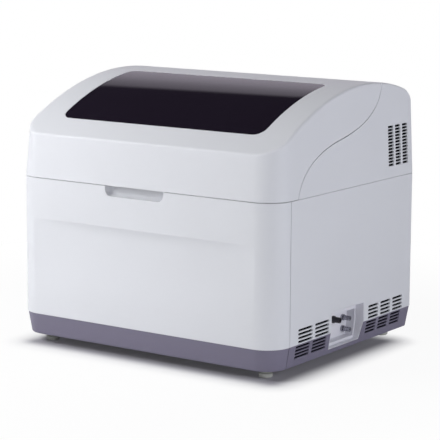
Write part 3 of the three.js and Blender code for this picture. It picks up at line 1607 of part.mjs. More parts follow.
// Mixer paddle: hub, thin shaft and a flat blade at its tip
function paddle() {
  const hubTop = -fitGap;
  const tip = paddleTipZ - armZ;
  const shaft = turned('z', [0, 0, 0], [
    [0, tip + fitGap], [paddleShaftRadius, tip + fitGap], [paddleShaftRadius, hubTop - paddleHubLength],
    [paddleHubRadius, hubTop - paddleHubLength], [paddleHubRadius, hubTop], [0, hubTop],
  ], smallSides);
  return shaft.add(box(
    -paddleBladeWidth / 2, paddleBladeWidth / 2, -paddleBladeThickness / 2, paddleBladeThickness / 2,
    tip, tip + paddleBladeHeight,
  ));
}

function washWell() {
  const flangeZ = deckTopZ + fitGap;
  const flangeTopZ = flangeZ + tubFlangeThickness;
  return turned('z', [0, 0, 0], [
    [0, wellBottomZ], [wellRadius, wellBottomZ], [wellRadius, flangeZ], [wellRadius + wellFlange, flangeZ],
    [wellRadius + wellFlange, flangeTopZ], [wellRadius, flangeTopZ], [wellRadius, wellTopZ],
    [wellBoreRadius, wellTopZ], [wellBoreRadius, wellBoreFloorZ], [0, wellBoreFloorZ],
  ], smallSides);
}

const wellPlace = needlePlace(0);
const mixerCuvette = polar(cuvetteRingRadius, cuvettePhase + (mixerCuvetteSteps * 360) / cuvetteCount);
const mixerReach = Math.hypot(reactionX + mixerCuvette[0] - mixerX, reactionY + mixerCuvette[1] - mixerY);

// Deck plate with a hole for each thing that hangs through it
function deckPlate() {
  const edge = coverWall + deckEdgeInset;
  const front = box(-across, across, -bodyDepth, deckRearY, 0, crestZ);
  const plate = planBody(deckBottomZ, deckTopZ, edge).intersect(front);
  const hole = (x, y, radius, sides) => bar(
    'z', [x, y], deckBottomZ - overrun, deckTopZ + overrun, radius + deckHoleMargin, sides,
  );
  return cutFrom(plate, [
    gripHollow(gripWall + deckNotchClearance), hole(reagentX, reagentY, reagentTubRadius, tubSides),
    hole(reactionX, reactionY, reactionTubRadius, tubSides), hole(probeX, probeY, guideRadius, barSides),
    hole(mixerX, mixerY, guideRadius, barSides), hole(...wellPlace, wellRadius, smallSides),
  ]);
}

// Hinge: a fixed leaf with the middle knuckle, built round the pin, and the lid's leaf with the outer two
const barrelRadius = rollRadius - coverWall - rollClearance;
const pinBore = hingePinRadius + hingeBoreClearance;

function knuckle(x0, x1, y, z) {
  return bar('x', [y, z], x0, x1, barrelRadius, pinSides)
    .subtract(bar('x', [y, z], x0 - overrun, x1 + overrun, pinBore, pinSides));
}

function hingeBracket() {
  const half = hingeLength / 2;
  const centre = hingeCentreLength / 2;
  const leaf = hingeLeafThickness / 2;
  const shoulderZ = -barrelRadius - partingGap;
  const neck = box(-centre, centre, -leaf, leaf, shoulderZ, -pinBore - hingeBoreClearance);
  const plate = box(-half, half, -leaf, leaf, -hingeBracketDrop, shoulderZ);
  return joined([knuckle(-centre, centre, 0, 0), neck, plate]);
}

function hingeLeaf(side) {
  const x = side * hingeX;
  const half = hingeLength / 2;
  const centre = hingeCentreLength / 2 + fitGap;
  const frontY = hingeY - hingeLeafReach;
  const sheet = crownBody(coverWall + fitGap).subtract(crownBody(coverWall + fitGap + hingeLeafThickness))
    .intersect(box(x - half, x + half, frontY, hingeY, hingeZ, crestZ));
  const notch = box(
    x - centre, x + centre, hingeY - barrelRadius - partingGap, hingeY + overrun, hingeZ - overrun, crestZ,
  );
  const pinHole = bar('x', [hingeY, hingeZ], x - half - overrun, x + half + overrun, pinBore, pinSides);
  const spans = [[x - half, x - centre], [x + centre, x + half]];
  const knuckles = spans.map(([x0, x1]) => knuckle(x0, x1, hingeY, hingeZ));
  return joined([sheet.subtract(notch), ...knuckles]).subtract(pinHole);
}

// The whole instrument
const analyzer = new THREE.Group();

function addPiece(name, shape, material, [x, y, z] = [0, 0, 0], turnDegrees = 0, tiltDegrees = 0) {
  const { numProp, vertProperties, triVerts } = shape.getMesh();
  const geometry = new THREE.BufferGeometry();
  geometry.setAttribute('position', new THREE.BufferAttribute(vertProperties, numProp));
  geometry.setIndex(new THREE.BufferAttribute(triVerts, 1));
  geometry.computeVertexNormals();
  const mesh = new THREE.Mesh(geometry, material);
  mesh.name = name;
  mesh.position.set(x, y, z);
  mesh.rotation.set(radians(tiltDegrees), 0, radians(turnDegrees));
  analyzer.add(mesh);
}

addPiece('base_pan', basePan(), steelSheet);
for (const [place, x, y] of [
  ['front_left', -footX, footFrontY], ['front_right', footX, footFrontY],
  ['rear_left', -footX, footRearY], ['rear_right', footX, footRearY],
]) {
  addPiece(`foot_${place}`, foot(), footRubber, [x, y, 0]);
}
for (const [hand, side] of [['left', -1], ['right', 1]]) {
  addPiece(`frame_wall_${hand}`, frameWall(side), steelSheet);
  addPiece(`side_panel_${hand}`, sidePanel(side), whiteShell);
  addPiece(`side_skirt_${hand}`, sideSkirt(side), greySkirt);
  addPiece(`hinge_bracket_${hand}`, hingeBracket(), steelSheet, [side * hingeX, hingeY, hingeZ]);
  const pin = bar('x', [0, 0], -hingeLength / 2, hingeLength / 2, hingePinRadius, pinSides);
  addPiece(`hinge_pin_${hand}`, pin, brightSteel, [side * hingeX, hingeY, hingeZ]);
  addPiece(`hinge_leaf_${hand}`, hingeLeaf(side), steelSheet);
  addPiece(`lid_buffer_${hand}`, lidBuffer(), darkRubber, [side * bufferX, 0, 0]);
}
addPiece('front_skirt', skirtShell().intersect(frontZone), greySkirt);
addPiece('front_cover', frontCover(), whiteShell);
addPiece('rear_cover', rearCover(), whiteShell);
addPiece('rear_panel', rearPanel(), steelSheet);
addPiece('rear_bulkhead', rearBulkhead(), steelSheet);
addPiece('deck_plate', deckPlate(), deckPlastic);

addPiece('lid_shell', lidShell(), whiteShell);
addPiece('lid_window', windowPane(), smokedPane);
addPiece('window_frame', windowRetainer(), blackPlastic);

addPiece('connector_recess', connectorRecess(), recessPlastic);
addPiece('tube_connector_upper', tubeFitting(fittingUpperZ), brightSteel);
addPiece('tube_connector_lower', tubeFitting(fittingLowerZ), brightSteel);
addPiece('sensor_socket', sensorSocket(), blackPlastic);

const reagentPlace = [reagentX, reagentY, 0];
const spindleBore = spindleRadius + spindleBoreGap;
addPiece('reagent_tub', tub(reagentTubRadius, reagentTubBottomZ, reagentTubRise, spindleBore), deckPlastic,
  reagentPlace);
addPiece('reagent_carousel', reagentCarousel(), bottlePlastic, reagentPlace);
addPiece('reagent_spindle', reagentSpindle(), darkMetal, reagentPlace);
addPiece('reagent_belt', reagentBelt(), darkRubber, reagentPlace, driveAngleDegrees);
addPiece('reagent_motor_pulley', motorPulley(), darkMetal, [motorX, motorY, 0]);
addPiece('reagent_motor',
  motor(motorSize, motorHeight, shelfBottomZ - fitGap, motorBossHeight, motorShaftRadius, motorShaftDepth),
  darkMetal, [motorX, motorY, 0]);

const reactionPlace = [reactionX, reactionY, 0];
const rotorBore = rotorShaftRadius + spindleBoreGap;
addPiece('reaction_tub', tub(reactionTubRadius, reactionTubBottomZ, reactionTubRise, rotorBore), darkMetal,
  reactionPlace);
addPiece('reaction_rotor', reactionRotor(), cuvettePlastic, reactionPlace);
const rotorMotorTopZ = reactionTubBottomZ - fitGap;
addPiece('reaction_motor',
  motor(reactionMotorSize, reactionMotorHeight, rotorMotorTopZ, 0, rotorShaftRadius, rotorShaftDepth),
  darkMetal, reactionPlace);
addPiece('photometer_head', photometerHead(), blackPlastic, [photometerX, photometerY, 0]);
addPiece('lamp_housing', lampHousing(), darkMetal, [lampX, lampY, 0]);

const column = bar('z', [0, 0], columnBottomZ, columnTopZ, columnRadius);
addPiece('probe_guide', columnGuide(), blackPlastic, [probeX, probeY, 0]);
addPiece('probe_column', column, brightSteel, [probeX, probeY, 0]);
addPiece('probe_arm', swingArm(probeArmLength), whiteShell, [probeX, probeY, armZ], probeParkDegrees);
addPiece('probe_needle', needle(), brightSteel, [...wellPlace, armZ], probeParkDegrees);
addPiece('mixer_guide', columnGuide(), blackPlastic, [mixerX, mixerY, 0]);
addPiece('mixer_column', column, brightSteel, [mixerX, mixerY, 0]);
addPiece('mixer_arm', swingArm(mixerReach), whiteShell, [mixerX, mixerY, armZ], mixerParkDegrees);
addPiece('mixer_paddle', paddle(), brightSteel, [mixerX, mixerY - mixerReach, armZ], mixerParkDegrees);
addPiece('wash_well', washWell(), deckPlastic, [...wellPlace, 0]);

const fanY = rearOuterY - sheetWall - fitGap - fanDepth;
addPiece('fan_frame', fanFrame(), blackPlastic, [grilleX, fanY, grilleZ]);
addPiece('fan_rotor', fanRotor(), blackPlastic, [grilleX, fanY, grilleZ]);
const inletY = rearOuterY + fitGap;
addPiece('power_inlet', powerInlet(), blackPlastic, [inletX, inletY, inletZ]);
const rockerPlace = [inletX, inletY + rockerPivotY, inletZ + rockerRise];
addPiece('power_rocker', powerRocker(), blackPlastic, rockerPlace, 0, -rockerTiltDegrees);
addPiece('power_supply', powerSupply(), steelSheet, [supplyX, supplyRearY, 0]);
const boardX = -frameWallX + sheetWall + fitGap;
addPiece('control_board', controlBoard(), deckPlastic, [boardX, boardFrontY, boardBottomZ]);
addPiece('syringe_pump', syringePump(), deckPlastic, [syringeX, syringeY, 0]);
addPiece('syringe_plunger', syringePlunger(), brightSteel, [syringeX, syringeY, 0]);

export default analyzer;
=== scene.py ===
import bpy
import json
from math import acos, cos, degrees, pi, radians, sin, tan
from mathutils import Euler, Matrix, Vector

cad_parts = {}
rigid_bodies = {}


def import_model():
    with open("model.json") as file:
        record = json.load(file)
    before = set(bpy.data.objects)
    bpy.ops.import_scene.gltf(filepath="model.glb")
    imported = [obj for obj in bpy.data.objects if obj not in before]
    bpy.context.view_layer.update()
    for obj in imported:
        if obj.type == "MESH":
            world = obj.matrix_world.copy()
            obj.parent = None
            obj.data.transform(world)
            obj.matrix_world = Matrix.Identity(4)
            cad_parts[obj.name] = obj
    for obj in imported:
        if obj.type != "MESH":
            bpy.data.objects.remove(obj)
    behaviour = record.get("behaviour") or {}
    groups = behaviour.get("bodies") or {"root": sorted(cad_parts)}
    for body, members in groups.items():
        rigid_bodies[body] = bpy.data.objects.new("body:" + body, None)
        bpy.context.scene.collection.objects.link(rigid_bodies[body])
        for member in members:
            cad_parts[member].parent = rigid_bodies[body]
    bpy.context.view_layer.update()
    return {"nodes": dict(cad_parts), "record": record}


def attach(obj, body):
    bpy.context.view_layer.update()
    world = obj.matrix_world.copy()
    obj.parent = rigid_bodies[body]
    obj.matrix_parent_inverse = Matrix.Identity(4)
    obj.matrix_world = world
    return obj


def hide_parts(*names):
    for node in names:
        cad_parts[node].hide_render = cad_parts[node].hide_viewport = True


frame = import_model()
record = frame["record"]
slotOf = {row["node"]: row["material_slot"] for row in record["subparts"]}
bodyOf = {
    node: name for name, nodes in record["behaviour"]["bodies"].items() for node in nodes
}
mm = 0.001
print("frame loaded")

# Sizes of the housing that several pieces share, in millimetres
body = {
    "halfWidth": 345, "halfDepth": 285, "frontRadius": 57, "rearRadius": 10,
    "skirtBottom": 21, "skirtTop": 69, "panelBottom": 69.3, "panelTop": 375.5, "lidSeam": 376,
    "wall": 3.5, "seamY": -226.6, "panelGap": 1.5, "crest": 592,
    "beyond": 20, "cutterReach": 400,  # how far cutters pass the faces, and the middle
}
frontY, seamZ = -body["halfDepth"], body["lidSeam"]
sides = (("left", -1), ("right", 1))


def camelName(words):  # deck_plate becomes deckPlate
    first, *rest = words.split("_")
    return first + "".join(word.title() for word in rest)


# Modelling steps

def pick(piece):  # makes one object the only selected and active one
    leave()
    bpy.ops.object.select_all(action="DESELECT")
    piece.select_set(True)
    bpy.context.view_layer.objects.active = piece


def edit(piece):
    pick(piece)
    bpy.ops.object.mode_set(mode="EDIT")
    bpy.ops.mesh.select_mode(type="VERT")
    bpy.ops.mesh.select_all(action="SELECT")


def leave():
    if bpy.context.mode != "OBJECT":
        bpy.ops.object.mode_set(mode="OBJECT")


def drawPath(name, points, filled=True):  # pulls one vertex from point to point
    leave()
    bpy.ops.object.select_all(action="DESELECT")
    bpy.ops.mesh.primitive_plane_add(size=mm)
    piece = bpy.context.object
    piece.name = name
    edit(piece)
    bpy.ops.mesh.merge(type="CENTER")
    bpy.ops.transform.translate(value=Vector(points[0]) * mm)
    for before, after in zip(points, points[1:]):
        pull(Vector(after) - Vector(before))
    bpy.ops.mesh.select_all(action="SELECT")
    if filled:
        bpy.ops.mesh.edge_face_add()
    leave()
    return piece


def pull(step):  # extrudes the selection and stays on what it pulled
    bpy.ops.mesh.extrude_region_move(TRANSFORM_OT_translate={"value": Vector(step) * mm})


def prism(name, points, step):  # a closed outline, pulled into a block
    piece = drawPath(name, points)
    edit(piece)
    pull(step)
    outwards(piece)
    return piece


def outwards(piece):
    edit(piece)
    bpy.ops.mesh.normals_make_consistent(inside=False)
    leave()


def useModifier(piece, kind, **settings):
    pick(piece)
    tool = piece.modifiers.new(kind.lower(), kind)
    for setting, value in settings.items():
        setattr(tool, setting, value)
    bpy.ops.object.modifier_apply(modifier=tool.name)


def combine(piece, other, operation, **settings):  # the other object is used up
    useModifier(piece, "BOOLEAN", operation=operation, solver="EXACT", object=other, **settings)
    bpy.data.objects.remove(other)


def cut(piece, other):
    combine(piece, other, "DIFFERENCE")


def keepInside(piece, other):
    combine(piece, other, "INTERSECT")


def duplicate(piece, name):
    pick(piece)
    bpy.ops.object.duplicate()
    copy = bpy.context.object
    copy.name = name
    return copy


def joinAll(pieces):
    pick(pieces[0])
    for piece in pieces:
        piece.select_set(True)
    bpy.ops.object.join()
    return pieces[0]


def turnAbout(piece, centre, angle):  # turns the mesh about an upright axis
    edit(piece)
    bpy.ops.transform.rotate(
        value=angle, orient_axis="Z", center_override=Vector((*centre, 0)) * mm,
    )
    leave()
    return piece


def selectFaces(piece, wanted):  # wanted answers for a face's middle in mm and the face
    edit(piece)
    bpy.ops.mesh.select_mode(type="FACE")
    bpy.ops.mesh.select_all(action="DESELECT")
    leave()
    for face in piece.data.polygons:
        face.select = wanted(face.center / mm, face)
    bpy.ops.object.mode_set(mode="EDIT")


def dropFaces(piece, wanted):
    selectFaces(piece, wanted)
    bpy.ops.mesh.delete(type="FACE")
    leave()


def groupBy(piece, name, weightAt):  # a vertex group, weighted by each vertex's place in mm
    group = piece.vertex_groups.new(name=name)
    for vertex in piece.data.vertices:
        weight = weightAt(*(vertex.co / mm))
        if weight:
            group.add([vertex.index], weight, "REPLACE")


def weld(piece, distance):
    edit(piece)
    bpy.ops.mesh.remove_doubles(threshold=distance * mm)
    leave()


def thicken(piece, wall, even=True):  # gives a sheet its wall on the inner side
    useModifier(piece, "SOLIDIFY", thickness=wall * mm, offset=-1, use_even_offset=even)


def score(place, normal):  # a new line of edges where a plane meets the mesh
    bpy.ops.mesh.select_all(action="SELECT")
    bpy.ops.mesh.bisect(plane_co=[value * mm for value in place], plane_no=normal)


def trim(piece, place, normal):  # cuts off what lies beyond a plane and closes the cut
    edit(piece)
    bpy.ops.mesh.bisect(
        plane_co=Vector(place) * mm, plane_no=normal, clear_outer=True, use_fill=True,
    )
    leave()


def softenEdges(piece, width, segments=2, angle=35):
    useModifier(
        piece, "BEVEL", width=width * mm, segments=segments, limit_method="ANGLE",
        angle_limit=radians(angle), use_clamp_overlap=True, miter_outer="MITER_ARC",
    )


def smoothShade(piece, angle=32):
    pick(piece)
    bpy.ops.object.shade_smooth_by_angle(angle=radians(angle))
    useModifier(piece, "WEIGHTED_NORMAL", keep_sharp=True, weight=50)


def faceAwayFrom(piece, inside):  # turns a sheet's faces away from a point
    middle = Vector(inside) * mm
    facing = sum(p.normal.dot(p.center - middle) * p.area for p in piece.data.polygons)
    if facing < 0:
        edit(piece)
        bpy.ops.mesh.flip_normals()
        leave()


# Outlines

def arc(centre, radius, start, end, steps):
    points = []
    for i in range(steps + 1):
        angle = radians(start + (end - start) * i / steps)
        points.append((centre[0] + radius * cos(angle), centre[1] + radius * sin(angle)))
    return points


def polar(centre, radius, bearing):
    return arc(centre, radius, bearing, bearing, 1)[0]


def bend(start, control, end, steps):  # from start to end, pulled towards a control point
    start, control, end = Vector(start), Vector(control), Vector(end)
    points = []
    for i in range(steps + 1):
        t = i / steps
        points.append(tuple(start * (1 - t) ** 2 + control * 2 * t * (1 - t) + end * t * t))
    return points


def cubic(a, b, c, d, steps):  # from a to d, with b and c as its handles
    points = []
    for i in range(steps + 1):
        t = i / steps
        s = 1 - t
        shares = (s ** 3, 3 * s * s * t, 3 * s * t * t, t ** 3)
        points.append(tuple(
            sum(share * point[k] for share, point in zip(shares, (a, b, c, d))) for k in (0, 1)
        ))
    return points


def shifted(line, distance):  # a line moved sideways, to its right
    moved = []
    for i, point in enumerate(line):
        before = line[max(i - 1, 0)]
        after = line[min(i + 1, len(line) - 1)]
        run = Vector((after[0] - before[0], after[1] - before[1])).normalized()
        moved.append((point[0] + distance * run.y, point[1] - distance * run.x))
    return moved


def roundRectangle(u0, u1, v0, v1, low, high=None, steps=8):  # low and high are corner radii
    high = low if high is None else high
    return (
        arc((u1 - low, v0 + low), low, -90, 0, steps)
        + arc((u1 - high, v1 - high), high, 0, 90, steps)
        + arc((u0 + high, v1 - high), high, 90, 180, steps)
        + arc((u0 + low, v0 + low), low, 180, 270, steps)
    )


def mirrored(points):  # the same line on the other side, run backwards
    return [(-x, y) for x, y in reversed(points)]


def onYZ(points, x):
    return [(x, y, z) for y, z in points]


def onXZ(points, y):
    return [(x, y, z) for x, z in points]


def onXY(points, z):
    return [(x, y, z) for x, y in points]


def slab(name, outline):  # a side outline pulled right across the body and beyond
    reach = body["cutterReach"]
    return prism(name, onYZ(outline, -reach), (2 * reach, 0, 0))


# Finishes

class Wire:  # a node's output that can be added, multiplied and so on
    def __init__(self, nodes, socket):
        self.nodes = nodes
        self.socket = socket

    def maths(self, operation, *values):
        return self.nodes.node("ShaderNodeMath", {"operation": operation}, *values)

    def __add__(self, other):
        return self.maths("ADD", self, other)

    def __radd__(self, other):
        return self.maths("ADD", other, self)

    def __sub__(self, other):
        return self.maths("SUBTRACT", self, other)

    def __rsub__(self, other):
        return self.maths("SUBTRACT", other, self)

    def __mul__(self, other):
        return self.maths("MULTIPLY", self, other)

    def __rmul__(self, other):
        return self.maths("MULTIPLY", other, self)


class NodeSet:  # the nodes of a material or of the world
    def __init__(self, owner):
        owner.use_nodes = True
        self.tree = owner.node_tree

    def feed(self, socket, value):  # links a wire to the socket, or sets its value
        if isinstance(value, Wire):
            self.tree.links.new(value.socket, socket)
        else:
            socket.default_value = value

    def node(self, kind, settings, *values, output=0, **named):
        made = self.tree.nodes.new(kind)
        for setting, value in settings.items():
            if setting == "stops":
                stops = made.color_ramp.elements
                while len(stops) < len(value):
                    stops.new(0.5)
                for stop, (position, colour) in zip(stops, value):
                    stop.position = position
                    stop.color = (*colour, 1)
            else:
                setattr(made, setting, value)
        for key, value in [*enumerate(values), *named.items()]:
            if value is not None:
                self.feed(made.inputs[key], value)
        return Wire(self, made.outputs[output])


class Finish(NodeSet):  # one procedural material, read from the Object coordinates
    def __init__(self, name, **constants):
        self.material = bpy.data.materials.new(name)
        super().__init__(self.material)
        self.shader = self.tree.nodes["Principled BSDF"]
        self.into(**constants)
        self.place = self.node("ShaderNodeTexCoord", {}, output="Object")

    def into(self, **inputs):  # values or wires for the shader's own sockets
        for name, value in inputs.items():
            self.feed(self.shader.inputs[name.replace("_", " ")], value)
        return self

    def noise(self, scale, detail, roughness=0.5, place=None):
        return self.node(
            "ShaderNodeTexNoise", {}, Vector=place or self.place, Scale=scale, Detail=detail,
            Roughness=roughness,
        )

    def blendColours(self, factor, low, high):  # the colours are the Mix node's inputs 6 and 7
        return self.node(
            "ShaderNodeMix", {"data_type": "RGBA"}, factor, None, None, None, None, None,
            (*low, 1), (*high, 1), output=2,
        )

    def clouded(self, colour, scale, shades):  # a colour that varies a little over the surface
        low, high = (tuple(channel * shade for channel in colour) for shade in shades)
        return self.blendColours(self.noise(scale, 3), low, high)

    def bump(self, height, strength, distance):
        return self.into(Normal=self.node(
            "ShaderNodeBump", {}, Strength=strength, Distance=distance * mm, Height=height,
        ))


def plasticFinish(name, colour, roughness, spread, grainScale, strength, **constants):
    finish = Finish(name, **constants)
    grain = finish.noise(grainScale, 2, roughness=0.6)
    finish.into(
        Base_Color=finish.clouded(colour, scale=6, shades=(0.985, 1.015)),
        Roughness=roughness - spread / 2 + grain * spread,
    )
    return finish.bump(grain, strength, distance=0.05)


def metalFinish(name, colour, roughness, stretch, spread):
    finish = Finish(name, Metallic=1.0)
    mapped = finish.node("ShaderNodeMapping", {}, Vector=finish.place, Scale=stretch)
    lines = finish.noise(400, 3, place=mapped)
    finish.into(
        Base_Color=finish.clouded(colour, scale=9, shades=(0.94, 1.05)),
        Roughness=roughness - spread / 2 + lines * spread,
    )
    return finish.bump(lines, strength=0.1, distance=0.03)


plastics = {  # colour, roughness, how far it varies, the grain's scale and strength
    "white_shell": ((0.745, 0.760, 0.800), 0.42, 0.08, 1500, 0.12),
    "grey_skirt": ((0.190, 0.176, 0.245), 0.5, 0.1, 1500, 0.15),
    "recess_plastic": ((0.78, 0.78, 0.83), 0.45, 0.08, 1500, 0.12),
    "deck_plastic": ((0.56, 0.58, 0.63), 0.5, 0.1, 1200, 0.15),
    "black_plastic": ((0.017, 0.015, 0.021), 0.45, 0.12, 1200, 0.2),
    "bottle_plastic": ((0.66, 0.65, 0.60), 0.35, 0.08, 900, 0.08),
    "cuvette_plastic": ((0.46, 0.54, 0.60), 0.18, 0.06, 600, 0.04),
    "foot_rubber": ((0.50, 0.51, 0.47), 0.55, 0.1, 900, 0.2),
    "dark_rubber": ((0.024, 0.023, 0.026), 0.75, 0.15, 900, 0.3),
}
metals = {  # colour, roughness, how its brushed lines are stretched, how far they vary
    "sheet_steel": ((0.50, 0.51, 0.54), 0.42, (1, 1, 8), 0.2),
    "bright_steel": ((0.62, 0.63, 0.65), 0.22, (1, 1, 20), 0.12),
    # the couplings' steel is a darker copy of the bright steel, standing in for the dark
    # surroundings it mirrors: painted shade
    "couplingSteel": ((0.36, 0.36, 0.40), 0.26, (20, 1, 1), 0.12),
    "dark_metal": ((0.085, 0.09, 0.10), 0.5, (1, 1, 1), 0.15),
}
finishes = {slot: plasticFinish(camelName(slot), *look) for slot, look in plastics.items()}
finishes.update({slot: metalFinish(camelName(slot), *look) for slot, look in metals.items()})
# near-black finish of the sheets behind the louvres and vents: painted shade for the dark inside of
# the slots
finishes["filterMat"] = plasticFinish(
    "filterMat", (0.006, 0.006, 0.008), 0.85, 0.1, 700, 0.4, IOR=1.12,
)
smoked = Finish("smokedPane", Alpha=0.9, IOR=1.49)
smokeCloud = smoked.noise(scale=5, detail=2)
finishes["smoked_pane"] = smoked.into(
    Base_Color=smoked.blendColours(smokeCloud, (0.012, 0.008, 0.016), (0.014, 0.010, 0.019)),
    Roughness=0.04 + smokeCloud * 0.02,
)
print("finishes ready")


def finishPiece(piece, node, slotName=None, look=None):  # stands for the node and rides as it does
    dress(piece, bodyOf[node], slotName or slotOf[node], look)
    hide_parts(node)


def dress(piece, bodyName, slotName, look=None):
    piece.data.materials.clear()
    piece.data.materials.append(finishes[look or slotName].material)
    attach(piece, bodyName)


# Upper housing: the closed skin that the lid, its window and the rear cover are cut from
upper = {
    "browSetback": 8, "browZ": 473.5, "browRun": 48, "browRise": 28, "browRadius": 9,
    "crestY": 93, "crestFront": 184, "crestRear": 61,
    "rollRadius": 45, "rollTop": 568, "rollSlope": 19, "rollHandle": 46,
    "sideLean": 0.0505, "edgeRadius": 6, "below": 30,
}
net = {  # how finely the skin is divided, and where its lines lie
    "brow": 8, "rise": 36, "fall": 16, "roll": 14, "frontCorner": 32, "rearCorner": 4,
    "fromSide": [0, 2.5, 5, 7.5, 10, 13, 18, 24, 30, 36, 42, 48, 54, 60, 75, 100],
    "across": [220, 150, 75, 0, -75, -150, -220], "sideRings": [2.5, 2.5, 2.5, 3],
    "fromFront": [3, 8, 14, 20, 26, 32, 38, 44, 50, 58, 75], "fromSeam": [-15, 0, 20, 60],
}
frontLean = upper["browSetback"] / (upper["browZ"] - seamZ)


def topProfile():  # up the front face, round the brow, over the crest and down the rear wall
    brow = Vector((frontY + upper["browSetback"], upper["browZ"]))
    face = Vector((upper["browSetback"], upper["browZ"] - seamZ)).normalized()
    crown = Vector((upper["browRun"], upper["browRise"])).normalized()
    reach = upper["browRadius"] * tan(acos(face.dot(crown)) / 2)
    high = brow + crown * reach
    browPart = bend(brow - face * reach, brow, high, net["brow"])
    crest = (upper["crestY"], body["crest"])
    rise = cubic(
        tuple(high), (brow.x + upper["browRun"], brow.y + upper["browRise"]),
        (crest[0] - upper["crestFront"], crest[1]), crest, net["rise"],
    )
    slope = tan(radians(upper["rollSlope"]))
    start = 90 - upper["rollSlope"]
    radius, top, handle = upper["rollRadius"], upper["rollTop"], upper["rollHandle"]
    centre = (body["halfDepth"] - radius, top - radius * sin(radians(start)))
    rollStart = centre[0] + radius * cos(radians(start))
    fall = cubic(
        crest, (crest[0] + upper["crestRear"], crest[1]),
        (rollStart - handle, top + handle * slope), (rollStart, top), net["fall"],
    )
    roll = arc(centre, radius, start, 0, net["roll"])
    return [(frontY, seamZ)] + browPart + rise[1:] + fall[1:] + roll[1:]


profile = topProfile()


def heightAt(y):
    for (y0, z0), (y1, z1) in zip(profile, profile[1:]):
        if y1 >= y:
            return z0 + (z1 - z0) * (y - y0) / (y1 - y0)


def closedProfile(inset):  # the profile moved inwards and closed below the lid's seam
    line = shifted(profile, inset)
    bottom = seamZ - upper["below"] + inset
    front = line[0][0] - frontLean * (line[0][1] - bottom)
    return [(front, bottom)] + line + [(line[-1][0], bottom)]


def planOutline(inset):  # the cabinet seen from above
    x = body["halfWidth"] - inset
    y = body["halfDepth"] - inset
    front = body["frontRadius"] - inset
    rear = body["rearRadius"] - inset
    right = arc((x - front, -y + front), front, -90, 0, net["frontCorner"])
    right += arc((x - rear, y - rear), rear, 0, 90, net["rearCorner"])
    return right + mirrored(right)


def innerCore():  # the body without its last few millimetres, which the rounding puts back
    inset = upper["edgeRadius"]
    top = body["crest"] + inset
    rise = top - seamZ
    halfX = body["halfWidth"] - inset
    rearY = body["halfDepth"] - inset
    plan = drawPath("planCore", onXY(planOutline(inset), seamZ))
    edit(plan)
    pull((0, 0, rise))
    bpy.ops.transform.resize(
        value=(1 - upper["sideLean"] * rise / halfX, 1 - frontLean * rise / (2 * rearY), 1),
        center_override=(0, rearY * mm, top * mm),
    )
    bpy.ops.mesh.select_all(action="DESELECT")
    leave()
    selectFaces(plan, lambda middle, face: middle.z < seamZ + 0.01)
    pull((0, 0, inset - upper["below"]))
    leave()
    outwards(plan)
    keepInside(plan, slab("crownCore", closedProfile(inset)))
    return plan


def upperBlank():  # the outer profile pulled across in stations that close up at the corners
    edge = body["halfWidth"]
    right = [edge - reach for reach in net["fromSide"]]
    stations = right + net["across"] + [-x for x in reversed(right)]
    blank = drawPath("upperBlank", onYZ(closedProfile(0), edge))
    edit(blank)
    for before, after in zip(stations, stations[1:]):
        pull((after - before, 0, 0))
    outwards(blank)
    for side in (-1, 1):
        selectFaces(blank, lambda middle, face: abs(middle.x - side * edge) < 0.5)
        for width in net["sideRings"]:
            bpy.ops.mesh.inset(thickness=width * mm)
        leave()
    edit(blank)
    for reach in net["fromFront"]:
        score((0, frontY + reach, 0), (0, 1, 0))
    for rise in net["fromSeam"]:
        score((0, 0, seamZ + rise), (0, 0, 1))
    leave()
    return blank


def wrapRound(skin, core):  # draws the skin over the core, an edge's radius away from it
    useModifier(
        skin, "SHRINKWRAP", target=core, wrap_method="NEAREST_SURFACEPOINT",
        wrap_mode="ON_SURFACE", offset=upper["edgeRadius"] * mm,
    )


browCorner = {"x": 305, "y": -228, "low": 445, "high": 490, "factor": 0.5, "rounds": 6}


def atBrowCorner(x, y, z):  # where the stations crowd together
    outside = abs(x) > browCorner["x"] and y < browCorner["y"]
    return float(outside and browCorner["low"] < z < browCorner["high"])


core = innerCore()
blank = upperBlank()
wrapRound(blank, core)
groupBy(blank, "browCorner", atBrowCorner)
useModifier(
    blank, "SMOOTH", factor=browCorner["factor"], iterations=browCorner["rounds"],
    vertex_group="browCorner",
)
wrapRound(blank, core)
bpy.data.objects.remove(core)
print("upper housing", len(blank.data.polygons))

# Where the lid and the rear cover part
parting = {
    "hingeY": 139, "lipRadius": 10, "gap": 1.6, "seamGap": 0.7,
    "frontY": -199.5, "hookRun": 6.5, "hookRise": 26,
    "midY": -20.6, "midZ": 483.3, "midFrontRun": 144, "midFrontDrop": 23,
    "midRearRun": 138, "midRearRise": 25, "topLead": 7, "topDrop": 25,
    "weld": 0.6, "edge": 0.9,
}
hingeY, lipRadius = parting["hingeY"], parting["lipRadius"]
hingeZ = heightAt(hingeY) - lipRadius
lidBottom = seamZ + parting["seamGap"]


def partingCurve(shift, foot):  # from the seam up to the hinge, without its last point
    rear = hingeY + lipRadius
    y, z = parting["midY"], parting["midZ"]
    low = cubic(
        (parting["frontY"], seamZ),
        (parting["frontY"] + parting["hookRun"], seamZ + parting["hookRise"]),
        (y - parting["midFrontRun"], z - parting["midFrontDrop"]), (y, z), 24,
    )
    high = cubic(
        (y, z), (y + parting["midRearRun"], z + parting["midRearRise"]),
        (rear - parting["topLead"], hingeZ - parting["topDrop"]), (rear, hingeZ), 20,
    )
    line = shifted(low + high[1:], shift)
    return [(line[0][0], foot)] + line[1:-1]


def markWith(piece, name):
    piece.data.materials.append(bpy.data.materials.get(name) or bpy.data.materials.new(name))


def cutMarked(piece, cutter, operation):  # the new faces carry the cutter's material
    if not piece.data.materials:
        markWith(piece, "skin")
    markWith(cutter, "cutFace")
    combine(piece, cutter, operation, material_mode="TRANSFER")


def dropCuts(piece, spared=lambda middle: False):  # leaves the skin, and cut faces that are spared
    mark = piece.data.materials.find("cutFace")
    dropFaces(piece, lambda middle, face: face.material_index == mark and not spared(middle))
    weld(piece, parting["weld"])


